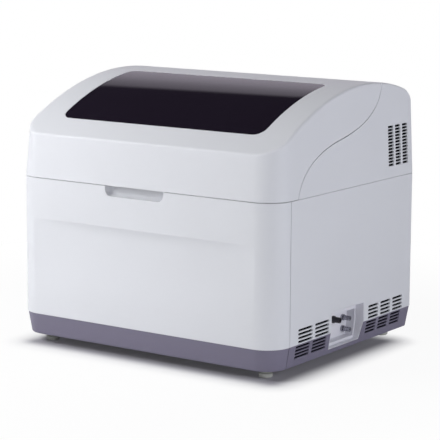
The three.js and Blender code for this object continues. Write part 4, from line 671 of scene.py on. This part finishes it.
frontOut = frontY - body["beyond"]
rearOut = body["halfDepth"] + body["beyond"]
topOut = body["crest"] + body["beyond"]
lidOutline = partingCurve(-parting["gap"] / 2, lidBottom)
lidOutline += arc((hingeY, hingeZ), lipRadius, 0, 90, 12)
lidOutline = [(frontOut, lidBottom)] + lidOutline + [(hingeY, topOut), (frontOut, topOut)]
rearEdge = hingeY + lipRadius + parting["gap"]
rearOutline = partingCurve(parting["gap"] / 2, seamZ) + [
    (rearEdge, hingeZ), (rearEdge, topOut), (rearOut, topOut), (rearOut, seamZ),
]

lidSkin = duplicate(blank, "lid")
cutMarked(lidSkin, slab("lidRegion", lidOutline), "INTERSECT")
coverSkin = duplicate(blank, "rearHousing")
cutMarked(coverSkin, slab("rearRegion", rearOutline), "INTERSECT")
bpy.data.objects.remove(blank)

# Lid window
window = {
    "x": 266, "front": -222, "rear": 43, "radius": 24, "gap": 0.4, "drop": 0.5, "thick": 3,
    "edge": 0.5, "cutterLow": 420, "cutterHeight": 200,
}


def windowCutter(grow):
    x, front, rear = window["x"] + grow, window["front"] - grow, window["rear"] + grow
    shape = roundRectangle(-x, x, front, rear, window["radius"] + grow, steps=12)
    step = (0, 0, window["cutterHeight"])
    return prism("windowCutter", onXY(shape, window["cutterLow"]), step)


pane = duplicate(lidSkin, "windowPane")
cutMarked(pane, windowCutter(-window["gap"]), "INTERSECT")
dropCuts(pane)
edit(pane)
bpy.ops.transform.translate(value=(0, 0, -window["drop"] * mm))
leave()
thicken(pane, window["thick"])
softenEdges(pane, window["edge"])
smoothShade(pane)
finishPiece(pane, "lid_window")
print("window pane", len(pane.data.polygons))


def onLip(middle):  # the rolled rear lip
    return middle.y > hingeY + 0.3 and middle.z > hingeZ - 0.3


cutMarked(lidSkin, windowCutter(0), "DIFFERENCE")
dropCuts(lidSkin, onLip)
thicken(lidSkin, body["wall"], even=False)
trim(lidSkin, (0, 0, lidBottom), (0, 0, -1))
softenEdges(lidSkin, parting["edge"])
smoothShade(lidSkin)
finishPiece(lidSkin, "lid_shell")
print("lid", len(lidSkin.data.polygons))

# Rear cover with its vents
vents = {
    "columns": 3, "rows": 13, "startY": 172.4, "pitchY": 31.2, "length": 24.2, "height": 5.4,
    "bottom": 404.5, "pitchZ": 7.03,
}
slotTool = {"x": 320, "reach": 50, "steps": 6}


def repeat(piece, count, step):
    useModifier(
        piece, "ARRAY", count=count, use_relative_offset=False, use_constant_offset=True,
        constant_offset_displace=Vector(step) * mm,
    )


def slotCutters(name, side, spec):  # a slot with round ends, repeated over its columns and rows
    radius = spec["height"] / 2
    low = (spec["startY"] + radius, spec["bottom"])
    high = (spec["startY"] + spec["length"] - radius, spec["bottom"])
    shape = arc(high, radius, -90, 90, slotTool["steps"])
    shape += arc(low, radius, 90, 270, slotTool["steps"])
    cutter = prism(name, onYZ(shape, side * slotTool["x"]), (side * slotTool["reach"], 0, 0))
    repeat(cutter, spec["columns"], (0, spec["pitchY"], 0))
    repeat(cutter, spec["rows"], (0, 0, spec["pitchZ"]))
    return cutter


dropCuts(coverSkin)
thicken(coverSkin, body["wall"])
softenEdges(coverSkin, parting["edge"])
cut(coverSkin, slotCutters("ventCutter", 1, vents))
smoothShade(coverSkin)
finishPiece(coverSkin, "rear_cover")
print("rear cover", len(coverSkin.data.polygons))

# Front cover: a wall round the front corners with the soft hollow and the finger recess
scoop = {
    "top": 286, "bottom": 120, "halfWidth": 292, "depth": 9.5, "deepest": 0.40, "endFade": 0.5,
    "curl": 4.4, "edge": 0.8, "edgeAngle": 50, "rowsBelow": [95], "rowsAbove": [287.5, 310, 340],
    "drops": [
        0, 1.2, 2.6, 4.4, 6.6, 9.4, 13, 17.5, 23, 30, 38, 47, 58, 70, 84, 100, 116, 132, 146, 158,
        166,
    ],
}
grip = {
    "left": -93, "right": 62, "bottom": 353.5, "depth": 17, "corner": 15, "edge": 4,
    "back": 16, "lip": 362, "wall": 2.4, "reach": 70,
    "pocket": (-200, 200, -284.6, -200, 1), "pocketLow": 300,
}


def frontLine(inset=0, stations=40, cornerSteps=20):  # plan of the wall, from right to left
    x = body["halfWidth"] - inset
    y = frontY + inset
    radius = body["frontRadius"] - inset
    seam = body["seamY"] - body["panelGap"] / 2
    right = [(x, seam)] + arc((x - radius, y + radius), radius, 0, -90, cornerSteps)
    span = 2 * (x - radius)
    middle = [(x - radius - span * i / stations, y) for i in range(1, stations)]
    return right + middle + mirrored(right)


def raiseSheet(name, line, levels):  # draws the plan line and pulls it up from level to level
    sheet = drawPath(name, onXY(line, levels[0]), filled=False)
    edit(sheet)
    for before, after in zip(levels, levels[1:]):
        pull((0, 0, after - before))
    leave()
    faceAwayFrom(sheet, (0, 0, (levels[0] + levels[-1]) / 2))
    return sheet


def hollowDepth(x, y, z):  # 0 off the hollow, 1 where it is deepest
    fallen = (scoop["top"] - z) / (scoop["top"] - scoop["bottom"])
    across = 1 - (x / scoop["halfWidth"]) ** 2
    if y > frontY + 0.001 or not 0 < fallen < 1 or across <= 0:
        return 0
    deepest = scoop["deepest"]
    if fallen < deepest:
        depth = 1 - (1 - fallen / deepest) ** scoop["curl"]
    else:
        depth = (1 + cos(pi * (fallen - deepest) / (1 - deepest))) / 2
    return depth * across ** scoop["endFade"]


rows = [body["panelBottom"], *scoop["rowsBelow"]]
rows += [scoop["top"] - drop for drop in reversed(scoop["drops"])]
rows += [*scoop["rowsAbove"], body["panelTop"]]
frontCover = raiseSheet("frontCover", frontLine(), rows)
groupBy(frontCover, "hollow", hollowDepth)
useModifier(
    frontCover, "DISPLACE", direction="Y", strength=scoop["depth"] * mm, mid_level=0,
    vertex_group="hollow",
)
thicken(frontCover, body["wall"])
softenEdges(frontCover, scoop["edge"], angle=scoop["edgeAngle"])


def gripShape(name, grow):  # the finger recess, or with grow the outside of its pocket
    beyond = body["beyond"]
    left, right = grip["left"] - grow, grip["right"] + grow
    top = body["panelTop"] + beyond
    low = grip["bottom"] - grow
    deep = frontY + grip["depth"] + grow
    face = roundRectangle(left, right, low, top, grip["corner"] + grow, grip["edge"], 12)
    shape = prism(name, onXZ(face, frontOut), (0, grip["reach"], 0))
    rear = grip["back"] + grow
    plan = roundRectangle(left, right, frontOut - beyond, deep, grip["edge"], rear, 12)
    keepInside(shape, prism("gripPlan", onXY(plan, low - beyond / 2), (0, 0, top - low + beyond)))
    curve = bend((frontY, low), (deep, low), (deep, grip["lip"]), 12)
    section = onYZ([(frontOut, top), (frontOut, low)] + curve + [(deep, top)], left - beyond)
    keepInside(shape, prism("gripSection", section, (right - left + 2 * beyond, 0, 0)))
    return shape


pocket = gripShape("gripPocket", grip["wall"])
low = grip["pocketLow"]
pocketZone = onXY(roundRectangle(*grip["pocket"], steps=2), low)
keepInside(pocket, prism("pocketZone", pocketZone, (0, 0, body["panelTop"] - low)))
combine(frontCover, pocket, "UNION")
cut(frontCover, gripShape("gripCutter", 0))
smoothShade(frontCover)
finishPiece(frontCover, "front_cover")
print("front cover", len(frontCover.data.polygons))

# Side panels and skirts with their louvres
louvreGroups = [
    {"columns": 2, "length": 55.5, "pitchY": 66.3}, {"columns": 3, "length": 43.3, "pitchY": 53.2},
]
panelSlots = {"height": 5.2, "rows": 4, "pitchZ": 8.2, "bottom": 74.8, "starts": (-194.5, 92)}
skirtSlots = {"height": 5.0, "rows": 4, "pitchZ": 7.4, "bottom": 41.6, "starts": (-200.5, 87.8)}
recess = {
    "front": -63, "rear": 73, "rearBottom": 63.5, "top": 114.5, "break": 70, "bottom": 31.5,
    "gap": 0.3, "cutterX": 300, "cutterReach": 80,
}
panelEdge = 0.8
skirt = {
    "taper": 9, "topInset": 1.2, "round": 3, "wall": 3, "edge": 0.6, "return": 24, "panHalf": 333,
}


def sideLine(side, inset=0):  # plan of one side wall, from the cover's seam round the rear corner
    x = body["halfWidth"] - inset
    y = body["halfDepth"] - inset
    radius = max(body["rearRadius"] - inset, 2)
    seam = body["seamY"] + body["panelGap"] / 2
    line = [(x, at) for at in (seam, -150, -70, 80, 180)]
    line += arc((x - radius, y - radius), radius, 0, 90, 6)
    line += [(skirt["panHalf"] - skirt["return"], y)]
    return [(side * px, py) for px, py in line]


def recessCutter():
    front, rear = recess["front"] - recess["gap"], recess["rear"] + recess["gap"]
    low, top = recess["bottom"] - recess["gap"], recess["top"] + recess["gap"]
    shape = [
        (front, top), (front, low), (recess["rearBottom"] + recess["gap"], low),
        (rear, recess["break"]), (rear, top),
    ]
    return prism("recessCutter", onYZ(shape, recess["cutterX"]), (recess["cutterReach"], 0, 0))


def cutOpenings(piece, side, rows):  # the louvres, and on the right the connector recess
    for startY, group in zip(rows["starts"], louvreGroups):
        cut(piece, slotCutters("louvreCutter", side, {**rows, **group, "startY": startY}))
    if side > 0:
        cut(piece, recessCutter())


def taperedSheet(name, lineAt):  # skirt wall: a rounded foot edge, then out to the panel
    taper, edge, foot = skirt["taper"], skirt["round"], body["skirtBottom"]
    levels = [
        (taper + edge, foot), (taper + edge * 0.3, foot + edge * 0.3), (taper, foot + edge),
        (skirt["topInset"], body["skirtTop"]),
    ]
    rings = [onXY(lineAt(inset), z) for inset, z in levels]
    sheet = drawPath(name, rings[0], filled=False)
    for ring in rings[1:]:
        joinAll([sheet, drawPath("ring", ring, filled=False)])
    edit(sheet)
    bpy.ops.mesh.bridge_edge_loops(type="SINGLE")
    leave()
    return sheet


for hand, side in sides:
    node = "side_panel_" + hand
    panel = raiseSheet(camelName(node), sideLine(side), [body["panelBottom"], body["panelTop"]])
    thicken(panel, body["wall"])
    softenEdges(panel, panelEdge)
    cutOpenings(panel, side, panelSlots)
    smoothShade(panel)
    finishPiece(panel, node)
print("side panels")

skirts = {"front_skirt": (0, lambda inset: frontLine(inset, stations=8, cornerSteps=16))}
for hand, side in sides:
    skirts["side_skirt_" + hand] = (side, lambda inset, side=side: sideLine(side, inset))
for node, (side, lineAt) in skirts.items():
    sheet = taperedSheet(camelName(node), lineAt)
    faceAwayFrom(sheet, (0, 0, (body["skirtBottom"] + body["skirtTop"]) / 2))
    thicken(sheet, skirt["wall"])
    trim(sheet, (0, 0, body["skirtTop"]), (0, 0, 1))
    trim(sheet, (0, 0, body["skirtBottom"]), (0, 0, -1))
    softenEdges(sheet, skirt["edge"])
    if side:
        cutOpenings(sheet, side, skirtSlots)
    smoothShade(sheet)
    finishPiece(sheet, node)
print("skirts")


# Round parts, rings of parts and softened copies of the sheet parts

def turned(name, axis, centre, section, steps=64, edge=0.4):  # spins (radius, height) points
    offsets = [(h, 0, r) if axis == "X" else (r, 0, h) for r, h in section]
    points = [Vector(centre) + Vector(offset) for offset in offsets]
    piece = drawPath(name, points, filled=False)
    edit(piece)
    bpy.ops.mesh.spin(
        steps=steps, angle=2 * pi, center=Vector(centre) * mm,
        axis=[float(axis == side) for side in "XYZ"], use_auto_merge=True,
    )
    weld(piece, 0.01)
    outwards(piece)
    softenEdges(piece, edge)
    smoothShade(piece)
    return piece


def upright(name, centre, section, steps=64, edge=0.4):
    return turned(name, "Z", (*centre, 0), section, steps, edge)


def block(name, outline, low, high, edge):  # a plan outline raised from one height to another
    piece = prism(name, onXY(outline, low), (0, 0, high - low))
    softenEdges(piece, edge)
    return piece


def ringOf(piece, count, centre):  # copies a piece round a centre and makes one object of them
    copies = [piece]
    for i in range(1, count):
        copy = duplicate(piece, piece.name + "Copy")
        copies.append(turnAbout(copy, centre, 2 * pi * i / count))
    return joinAll(copies)


def refined(nodeName, name, width):  # a CAD node's copy, merged, with soft edges
    pick(frame["nodes"][nodeName])
    bpy.ops.object.duplicate()
    piece = bpy.context.object
    piece.name = name
    bpy.ops.object.parent_clear(type="CLEAR_KEEP_TRANSFORM")
    bpy.ops.object.transform_apply(location=True, rotation=True, scale=True)
    weld(piece, 0.005)
    edit(piece)
    bpy.ops.mesh.mark_sharp(clear=True)
    bpy.ops.mesh.dissolve_limited(angle_limit=radians(0.5))
    outwards(piece)
    softenEdges(piece, width, angle=30)
    smoothShade(piece)
    return piece


# Connector recess with its two couplings and the socket
pocketPiece = refined("connector_recess", "connectorPocket", 0.7)
finishPiece(pocketPiece, "connector_recess")
coupling = {
    "x": 304.3, "y": 48, "heights": {"upper": 79, "lower": 54},
    "section": [
        (0, 0), (7, 0), (7, 4.5), (3.8, 4.5), (3.8, 7), (5.3, 7), (5.3, 9.8), (4.5, 9.8),
        (4.5, 12.6), (5.3, 12.6), (5.3, 15.4), (4.5, 15.4), (4.5, 18.2), (5.3, 18.2), (5.3, 21),
        (2.2, 21), (2.2, 9), (0, 9),
    ],
}
plug = {
    "y": 9, "z": 81,
    "section": [
        (0, 0), (8.2, 0), (8.2, 4.5), (6.4, 4.5), (6.4, 19), (3.9, 19), (3.9, 9), (0, 9),
    ],
}
for hand, z in coupling["heights"].items():
    place = (coupling["x"], coupling["y"], z)
    name = camelName("tube_coupling_" + hand)
    fitting = turned(name, "X", place, coupling["section"], 48, edge=0.25)
    finishPiece(fitting, "tube_connector_" + hand, look="couplingSteel")
place = (coupling["x"], plug["y"], plug["z"])
plugBody = turned("sensorPlug", "X", place, plug["section"], 48)
finishPiece(plugBody, "sensor_socket")
print("connector recess")

# Feet
foot = {
    "x": 288, "front": -230, "rear": 250,
    "section": [(0, 0), (13, 0), (15, 2), (15, 9), (10, 11), (10, 24), (0, 24)],
}
for hand, side in sides:
    for end in ("front", "rear"):
        place = (side * foot["x"], foot[end])
        name = camelName(end + "_foot_" + hand)
        pad = upright(name, place, foot["section"], 48, edge=0.6)
        finishPiece(pad, "foot_" + end + "_" + hand)
print("feet")

# Near-black sheets behind the louvres and the vents, painted shade that darkens the slots
shadeSheets = {
    "thick": 2.5, "corner": 3, "edge": 0.5,
    "panel": {"front": (-205, -70), "rear": (84, 256), "z": (71, 104), "x": (341.1, 341.1)},
    "skirt": {"front": (-210, -74), "rear": (79, 252), "z": (36, 67), "x": (334.4, 339.6)},
    "vent": {"rear": (168, 266), "z": (400, 496), "x": (339.8, 335)},
}


def addShadeSheet(name, kind, end, side):  # it leans from one x at its foot to another at its top
    (y0, y1), (z0, z1), (x0, x1) = shadeSheets[kind][end], shadeSheets[kind]["z"], shadeSheets[kind]["x"]
    slant = [
        (side * (x0 + (x1 - x0) * (z - z0) / (z1 - z0)), y, z)
        for y, z in roundRectangle(y0, y1, z0, z1, shadeSheets["corner"])
    ]
    shadeSheet = prism(camelName(name), slant, (-side * shadeSheets["thick"], 0, 0))
    softenEdges(shadeSheet, shadeSheets["edge"])
    dress(shadeSheet, "cabinet", "dark_rubber", "filterMat")


for hand, side in sides:
    for end in ("front", "rear"):
        for kind in ("panel", "skirt"):
            addShadeSheet(kind + "_mat_" + end + "_" + hand, kind, end, side)
addShadeSheet("vent_mat_right", "vent", "rear", 1)
print("filter mats")

# Reagent and sample turntable: tray, knob, a ring of bottles and a ring of sample tubes
carousel = {
    "centre": (-165, -60), "count": 12,
    "tray": [(26.3, 305), (131, 305), (131, 323), (134, 323), (134, 301), (26.3, 301), (26.3, 305)],
    "knob": [
        (0, 424), (13, 424), (16.5, 423), (18, 420), (18, 405), (20, 402), (26, 402), (26, 301),
        (6.3, 301), (6.3, 321.3), (0, 321.3),
    ],
}
bottle = {
    "bearing": -9.9, "halfAngle": 13.9, "inner": 84, "outer": 128, "low": 304, "high": 396,
    "edge": 3, "mouth": 108,
    "neck": [
        (0, 390), (8.5, 390), (8.5, 399), (9.6, 399.6), (9.6, 401), (8.5, 401.6), (8.5, 414),
        (0, 414),
    ],
    "bore": [(0, 350), (6, 350), (6, 430), (0, 430)],
}
tube = {
    "bearing": 66.5, "radius": 62,
    "section": [
        (0, 304), (4, 304.6), (6.8, 307), (8, 311), (8, 408), (6, 408), (6, 376), (4, 373),
        (0, 372),
    ],
}
hub = carousel["centre"]
tray = upright("carouselTray", hub, carousel["tray"], 96)
finishPiece(tray, "reagent_carousel", "deck_plastic")
knob = upright("carouselKnob", hub, carousel["knob"])
finishPiece(knob, "reagent_carousel", "dark_metal")
bearings = [bottle["bearing"] + bottle["halfAngle"] * step / 4 for step in range(-4, 5)]
wedge = [polar(hub, bottle["outer"], bearing) for bearing in bearings]
wedge += [polar(hub, bottle["inner"], bearing) for bearing in reversed(bearings)]
bottles = block("reagentBottles", wedge, bottle["low"], bottle["high"], bottle["edge"])
mouth = polar(hub, bottle["mouth"], bottle["bearing"])
combine(bottles, upright("neck", mouth, bottle["neck"], 40, 0.2), "UNION")
cut(bottles, upright("bore", mouth, bottle["bore"], 40))
smoothShade(bottles)
bottles = ringOf(bottles, carousel["count"], hub)
finishPiece(bottles, "reagent_carousel")
tubePlace = polar(hub, tube["radius"], tube["bearing"])
tubes = upright("sampleTubes", tubePlace, tube["section"], 32)
tubes = ringOf(tubes, carousel["count"], hub)
finishPiece(tubes, "reagent_carousel", "cuvette_plastic")
print("reagent turntable")

# Reaction rotor: disc with lightening holes, a band of cuvettes, hub and shaft
rotor = {
    "centre": (150, -70), "holes": 6, "holeRadius": 60,
    "disc": [
        (0, 314), (8, 314), (8, 362), (111, 362), (111, 367), (22, 367), (22, 395), (19, 398),
        (0, 398),
    ],
    "hole": [(0, 340), (17, 340), (17, 380), (0, 380)],
    "band": [(95.5, 367), (108.5, 367), (108.5, 398.5), (95.5, 398.5), (95.5, 367)],
}
cuvette = {
    "count": 32, "bearing": -175.4, "radius": 102,
    "cell": (4.3, 0.8, 367, 33), "well": (3.5, 0.5, 368, 50),  # half width, corner, foot, height
}
axle = rotor["centre"]
disc = upright("rotorDisc", axle, rotor["disc"], 96)
hole = upright("hole", polar(axle, rotor["holeRadius"], 0), rotor["hole"], 48)
cut(disc, ringOf(hole, rotor["holes"], axle))
smoothShade(disc)
finishPiece(disc, "reaction_rotor", "dark_metal")
band = upright("cuvetteBand", axle, rotor["band"], 128)


def squareBlock(name, half, corner, low, height):  # stands on the ring of cuvettes, at bearing 0
    x, y = axle[0] + cuvette["radius"], axle[1]
    outline = roundRectangle(x - half, x + half, y - half, y + half, corner, steps=2)
    return prism(name, onXY(outline, low), (0, 0, height))


def cuvetteRing(piece):  # from bearing 0 to the first cuvette's place, and then all round
    turnAbout(piece, axle, -radians(cuvette["bearing"]))
    return ringOf(piece, cuvette["count"], axle)


cell = squareBlock("cuvettes", *cuvette["cell"])
well = squareBlock("cuvetteWell", *cuvette["well"])
cut(band, cuvetteRing(duplicate(cell, "cellSocket")))
smoothShade(band)
finishPiece(band, "reaction_rotor", "black_plastic")
cut(cell, well)
smoothShade(cell)
finishPiece(cuvetteRing(cell), "reaction_rotor")
print("reaction rotor")

# Tubs hung from the deck
deckTop = 365.3  # what stands on the deck plate starts here
tubShape = {"wall": 4, "flange": 8, "flangeTop": 367.3}
tubs = {  # centre, radius, bottom, top and the bore round its shaft
    "reagent_tub": (hub, 143, 292, 391, 10.4), "reaction_tub": (axle, 118, 330, 389, 8.4),
}
for node, (centre, radius, low, top, bore) in tubs.items():
    rim, rimTop = radius + tubShape["flange"], tubShape["flangeTop"]
    inner, floorTop = radius - tubShape["wall"], low + tubShape["wall"]
    tub = upright(camelName(node), centre, [
        (bore, low), (radius, low), (radius, deckTop), (rim, deckTop), (rim, rimTop),
        (radius, rimTop), (radius, top), (inner, top), (inner, floorTop), (bore, floorTop),
        (bore, low),
    ], steps=128, edge=0.6)
    finishPiece(tub, node)
print("tubs")

# Probe and mixer: guides, lifting columns, arms, needle and paddle
arms = {
    "under": 518, "height": 24, "hub": 17, "tip": 10, "edge": 4,
    "guide": [
        (9.3, 305), (19, 305), (19, deckTop), (26, deckTop), (26, 369.3), (14, 369.3), (14, 387),
        (9.3, 387), (9.3, 305),
    ],
    "column": [(0, 250), (9, 250), (9, 530), (0, 530)],
    "socket": [(0, 500), (9.3, 500), (9.3, 530.3), (0, 530.3)],
    "needle": [
        (0, 440), (1.1, 442.2), (1.1, 505), (2.4, 507.7), (4.5, 507.7), (4.5, 517.7), (0, 517.7),
    ],
    "paddle": [
        (0, 440.3), (1.3, 440.3), (1.3, 505.7), (5, 505.7), (7, 507.7), (7, 517.7), (0, 517.7),
    ],
    "blade": (0.6, 2.2, 440, 452, 0.5),  # half its x, half its y, foot, top and corner
    "washWell": [
        (0, 340), (13, 340), (13, deckTop), (16, deckTop), (16, 367.3), (13, 367.3), (13, 424),
        (7, 424), (7, 366), (0, 366),
    ],
}
rigs = {
    "probe": {"place": (-5, 62), "reach": 150, "bearing": -87},
    "mixer": {"place": (286, 62), "reach": 110.8, "bearing": -90},
}


def armOutline(place, reach, bearing):
    wrap = degrees(acos((arms["hub"] - arms["tip"]) / reach))
    hubPart = arc(place, arms["hub"], bearing + wrap, bearing + 360 - wrap, 32)
    tip = polar(place, reach, bearing)
    return hubPart + arc(tip, arms["tip"], bearing - wrap, bearing + wrap, 24)


for name, rig in rigs.items():
    place = rig["place"]
    guide = upright(name + "Guide", place, arms["guide"], edge=0.7)
    finishPiece(guide, name + "_guide")
    column = upright(name + "Column", place, arms["column"], edge=0.8)
    finishPiece(column, name + "_column")
    arm = prism(name + "Arm", onXY(armOutline(**rig), arms["under"]), (0, 0, arms["height"]))
    softenEdges(arm, arms["edge"], 5, 60)
    cut(arm, upright("armSocket", place, arms["socket"]))
    smoothShade(arm, 40)
    finishPiece(arm, name + "_arm")
needlePlace, paddlePlace = (
    polar(rig["place"], rig["reach"], rig["bearing"]) for rig in rigs.values()
)
needle = upright("probeNeedle", needlePlace, arms["needle"], 32, 0.2)
finishPiece(needle, "probe_needle")
paddle = upright("mixerPaddle", paddlePlace, arms["paddle"], 32, 0.2)
x, y = paddlePlace
halfX, halfY, low, top, corner = arms["blade"]
blade = onXZ(roundRectangle(x - halfX, x + halfX, low, top, corner), y - halfY)
combine(paddle, prism("blade", blade, (0, 2 * halfY, 0)), "UNION")
smoothShade(paddle)
finishPiece(paddle, "mixer_paddle")
washWell = upright("washWell", needlePlace, arms["washWell"], 48, 0.5)
finishPiece(washWell, "wash_well")
print("probe and mixer")

# Photometer head and lamp housing, each block's plan with its corner radius
optics = {
    "head": (117, 183, 72, 112, 4), "nose": (136, 164, 32, 92, 4),
    "lampBox": (31.7, 111.7, 75, 121, 4), "fin": (41.7, 45.7, 79, 117, 1.5), "fins": 5,
    "finPitch": 14, "pipePlace": (71.7, 92, 398), "pipe": [(0, 0), (8, 0), (8, 45), (0, 45)],
}
head = block("photometerHead", roundRectangle(*optics["head"]), deckTop, 424, edge=1.5)
combine(head, block("nose", roundRectangle(*optics["nose"]), 404, 420, edge=1), "UNION")
smoothShade(head)
finishPiece(head, "photometer_head")
lampBox = block("lampHousing", roundRectangle(*optics["lampBox"]), deckTop, 430, edge=1)
for i in range(optics["fins"]):
    outline = [(x + i * optics["finPitch"], y) for x, y in roundRectangle(*optics["fin"])]
    combine(lampBox, block("fin", outline, 428, 440, edge=0.6), "UNION")
combine(lampBox, turned("lightPipe", "X", optics["pipePlace"], optics["pipe"], 48), "UNION")
smoothShade(lampBox)
finishPiece(lampBox, "lamp_housing")
print("photometer and lamp")

# Sheet and moulded parts whose CAD shape is right, with their edges softened by a width
softened = {
    "deck_plate": 0.5, "window_frame": 0.6, "base_pan": 0.3, "frame_wall_left": 0.3,
    "frame_wall_right": 0.3, "rear_bulkhead": 0.3, "hinge_bracket_left": 0.3,
    "hinge_bracket_right": 0.3, "hinge_leaf_left": 0.3, "hinge_leaf_right": 0.3,
    "lid_buffer_left": 0.8, "lid_buffer_right": 0.8, "fan_frame": 0.5, "power_inlet": 0.4,
    "power_rocker": 0.3, "power_supply": 0.6, "control_board": 0.2, "syringe_pump": 0.5,
    "reagent_motor": 0.5, "reaction_motor": 0.5,
}
ownNames = {"power_inlet": "mainsInlet", "power_rocker": "mainsRocker"}
for node, width in softened.items():
    name = ownNames.get(node) or camelName(node)
    finishPiece(refined(node, name, width), node)
print("sheet parts")

# Every CAD node that still shows takes its slot's finish
for nodeName, node in frame["nodes"].items():
    node.data.materials.clear()
    node.data.materials.append(finishes[slotOf[nodeName]].material)

# Studio: white paper under and behind the instrument, with the lamps' soft shadow at its foot and a
# painted shadow, a darker paper colour, round the foot
studio = {
    # the paper's colour is painted darker round the instrument's foot, down to a grey-violet right
    # at it: a painted shadow
    "floor": 60, "footX": (-0.300, 0.325), "footY": (-0.265, 0.19), "contact": 0.05,
    "below": (0.40, 0.39, 0.44), "paper": (0.95, 0.95, 0.955), "roughness": 0.9,
    "shade": 0.09, "glowLow": 0.03, "glowHigh": 0.93, "nearWhite": 0.55, "farWhite": 1.3,
}
bpy.ops.object.select_all(action="DESELECT")
bpy.ops.mesh.primitive_plane_add(size=studio["floor"], location=(0, 0, 0))
floor = bpy.context.object
floor.name = "floor"
paper = Finish("floorPaper", Roughness=studio["roughness"])


def outsideOf(axis, low, high):  # how far a place on the floor lies outside the foot's range
    place = paper.node("ShaderNodeSeparateXYZ", {}, paper.place, output=axis)
    return place.maths("MAXIMUM", place.maths("MAXIMUM", low - place, place - high), 0.0)


def fade(distance, near, far, low=0.0, high=1.0):
    return paper.node(
        "ShaderNodeMapRange", {"interpolation_type": "SMOOTHSTEP"}, distance, near, far, low, high,
    )


besideX, besideY = outsideOf("X", *studio["footX"]), outsideOf("Y", *studio["footY"])
beside = besideX.maths("POWER", besideX * besideX + besideY * besideY, 0.5)
# painted shadow: the paper's own colour darkens towards the foot, on top of the lamps' real shadow
paper.into(Base_Color=paper.blendColours(
    fade(beside, 0.0, studio["contact"]), studio["below"], studio["paper"],
))
reach = paper.node("ShaderNodeVectorMath", {"operation": "LENGTH"}, paper.place, output="Value")
nearBy = fade(beside, 0.0, studio["shade"], studio["glowLow"], studio["glowHigh"])
farOff = fade(reach, studio["nearWhite"], studio["farWhite"])
glow = nearBy + farOff * (1 - nearBy)
seen = paper.node("ShaderNodeLightPath", {}, output="Is Camera Ray")
lit = Wire(paper, paper.shader.outputs["BSDF"])
white = paper.node("ShaderNodeEmission", {}, (1, 1, 1, 1), 1.0)
mixed = paper.node("ShaderNodeMixShader", {}, glow * seen, lit, white)
paper.feed(paper.tree.nodes["Material Output"].inputs["Surface"], mixed)
floor.data.materials.append(paper.material)

# World: pale low down and dark above, dim except in what mirrors it, so that the pane is dark
sky = {
    "dim": 0.04, "mirrored": 1.0,
    "stops": [
        (0.38, (0.71, 0.655, 0.76)), (0.50, (0.45, 0.415, 0.48)), (0.53, (0.030, 0.026, 0.036)),
    ],
}
world = bpy.data.worlds.new("studioWorld")
bpy.context.scene.world = world
air = NodeSet(world)
background = air.tree.nodes["Background"]
direction = air.node("ShaderNodeTexCoord", {}, output="Generated")
height = air.node("ShaderNodeSeparateXYZ", {}, direction, output="Z")
colours = air.node("ShaderNodeValToRGB", {"stops": sky["stops"]}, height)
glossy = air.node("ShaderNodeLightPath", {}, output="Is Glossy Ray")
strength = air.node("ShaderNodeMapRange", {}, glossy, 0.0, 1.0, sky["dim"], sky["mirrored"])
air.feed(background.inputs["Color"], colours)
air.feed(background.inputs["Strength"], strength)


def lamp(name, place, size, power, target=(0, 0, 0.3), colour=(1, 1, 1)):
    bpy.ops.object.light_add(type="AREA", location=place)
    light = bpy.context.object
    light.name = name
    light.rotation_euler = (Vector(target) - Vector(place)).to_track_quat("-Z", "Y").to_euler()
    light.data.shape = "RECTANGLE"
    light.data.size, light.data.size_y = size
    light.data.energy = power
    light.data.color = colour
    light.visible_glossy = False


coolWhite = (0.94, 0.95, 1.0)
lamp("keyLamp", (-1.1, -1.9, 2.0), (1.0, 0.8), 17, target=(-0.1, 0, 0.4))
lamp("leftLamp", (-1.9, -1.2, 1.8), (1.0, 0.8), 20, target=(-0.1, 0, 0.4))
lamp("nearLamp", (-0.9, -1.3, 1.0), (0.5, 0.4), 6.5, target=(-0.3, -0.3, 0.45))
lamp("frontLamp", (0.4, -4.2, 0.9), (2.0, 1.2), 20)
lamp("topLamp", (0, 0, 3.4), (2.6, 2.2), 16)
lamp("sideLamp", (3.6, -0.6, 1.2), (1.8, 1.6), 46, colour=coolWhite)
lamp("rearSideLamp", (3.6, 0.9, 1.0), (1.6, 1.4), 14, colour=coolWhite)
lamp("rearLamp", (-0.6, 2.8, 0.5), (2.4, 0.7), 40)

# Camera at the photograph's place
view = {
    "place": (2.4101, -3.4559, 1.0009), "yaw": 34.78, "pitch": 9.83, "roll": 0.30,
    "lens": 155.5, "sensor": 36, "farthest": 200,
}
yaw, pitch, roll = (radians(view[key]) for key in ("yaw", "pitch", "roll"))
level = Euler((pi / 2 - pitch, 0, yaw)).to_matrix()
bpy.ops.object.camera_add(location=view["place"])
camera = bpy.context.object
camera.rotation_euler = (level @ Matrix.Rotation(roll, 3, "Z")).to_euler()
camera.data.lens = view["lens"]
camera.data.sensor_width = view["sensor"]
camera.data.clip_end = view["farthest"]
bpy.context.scene.camera = camera
bpy.context.scene.view_settings.view_transform = "Standard"
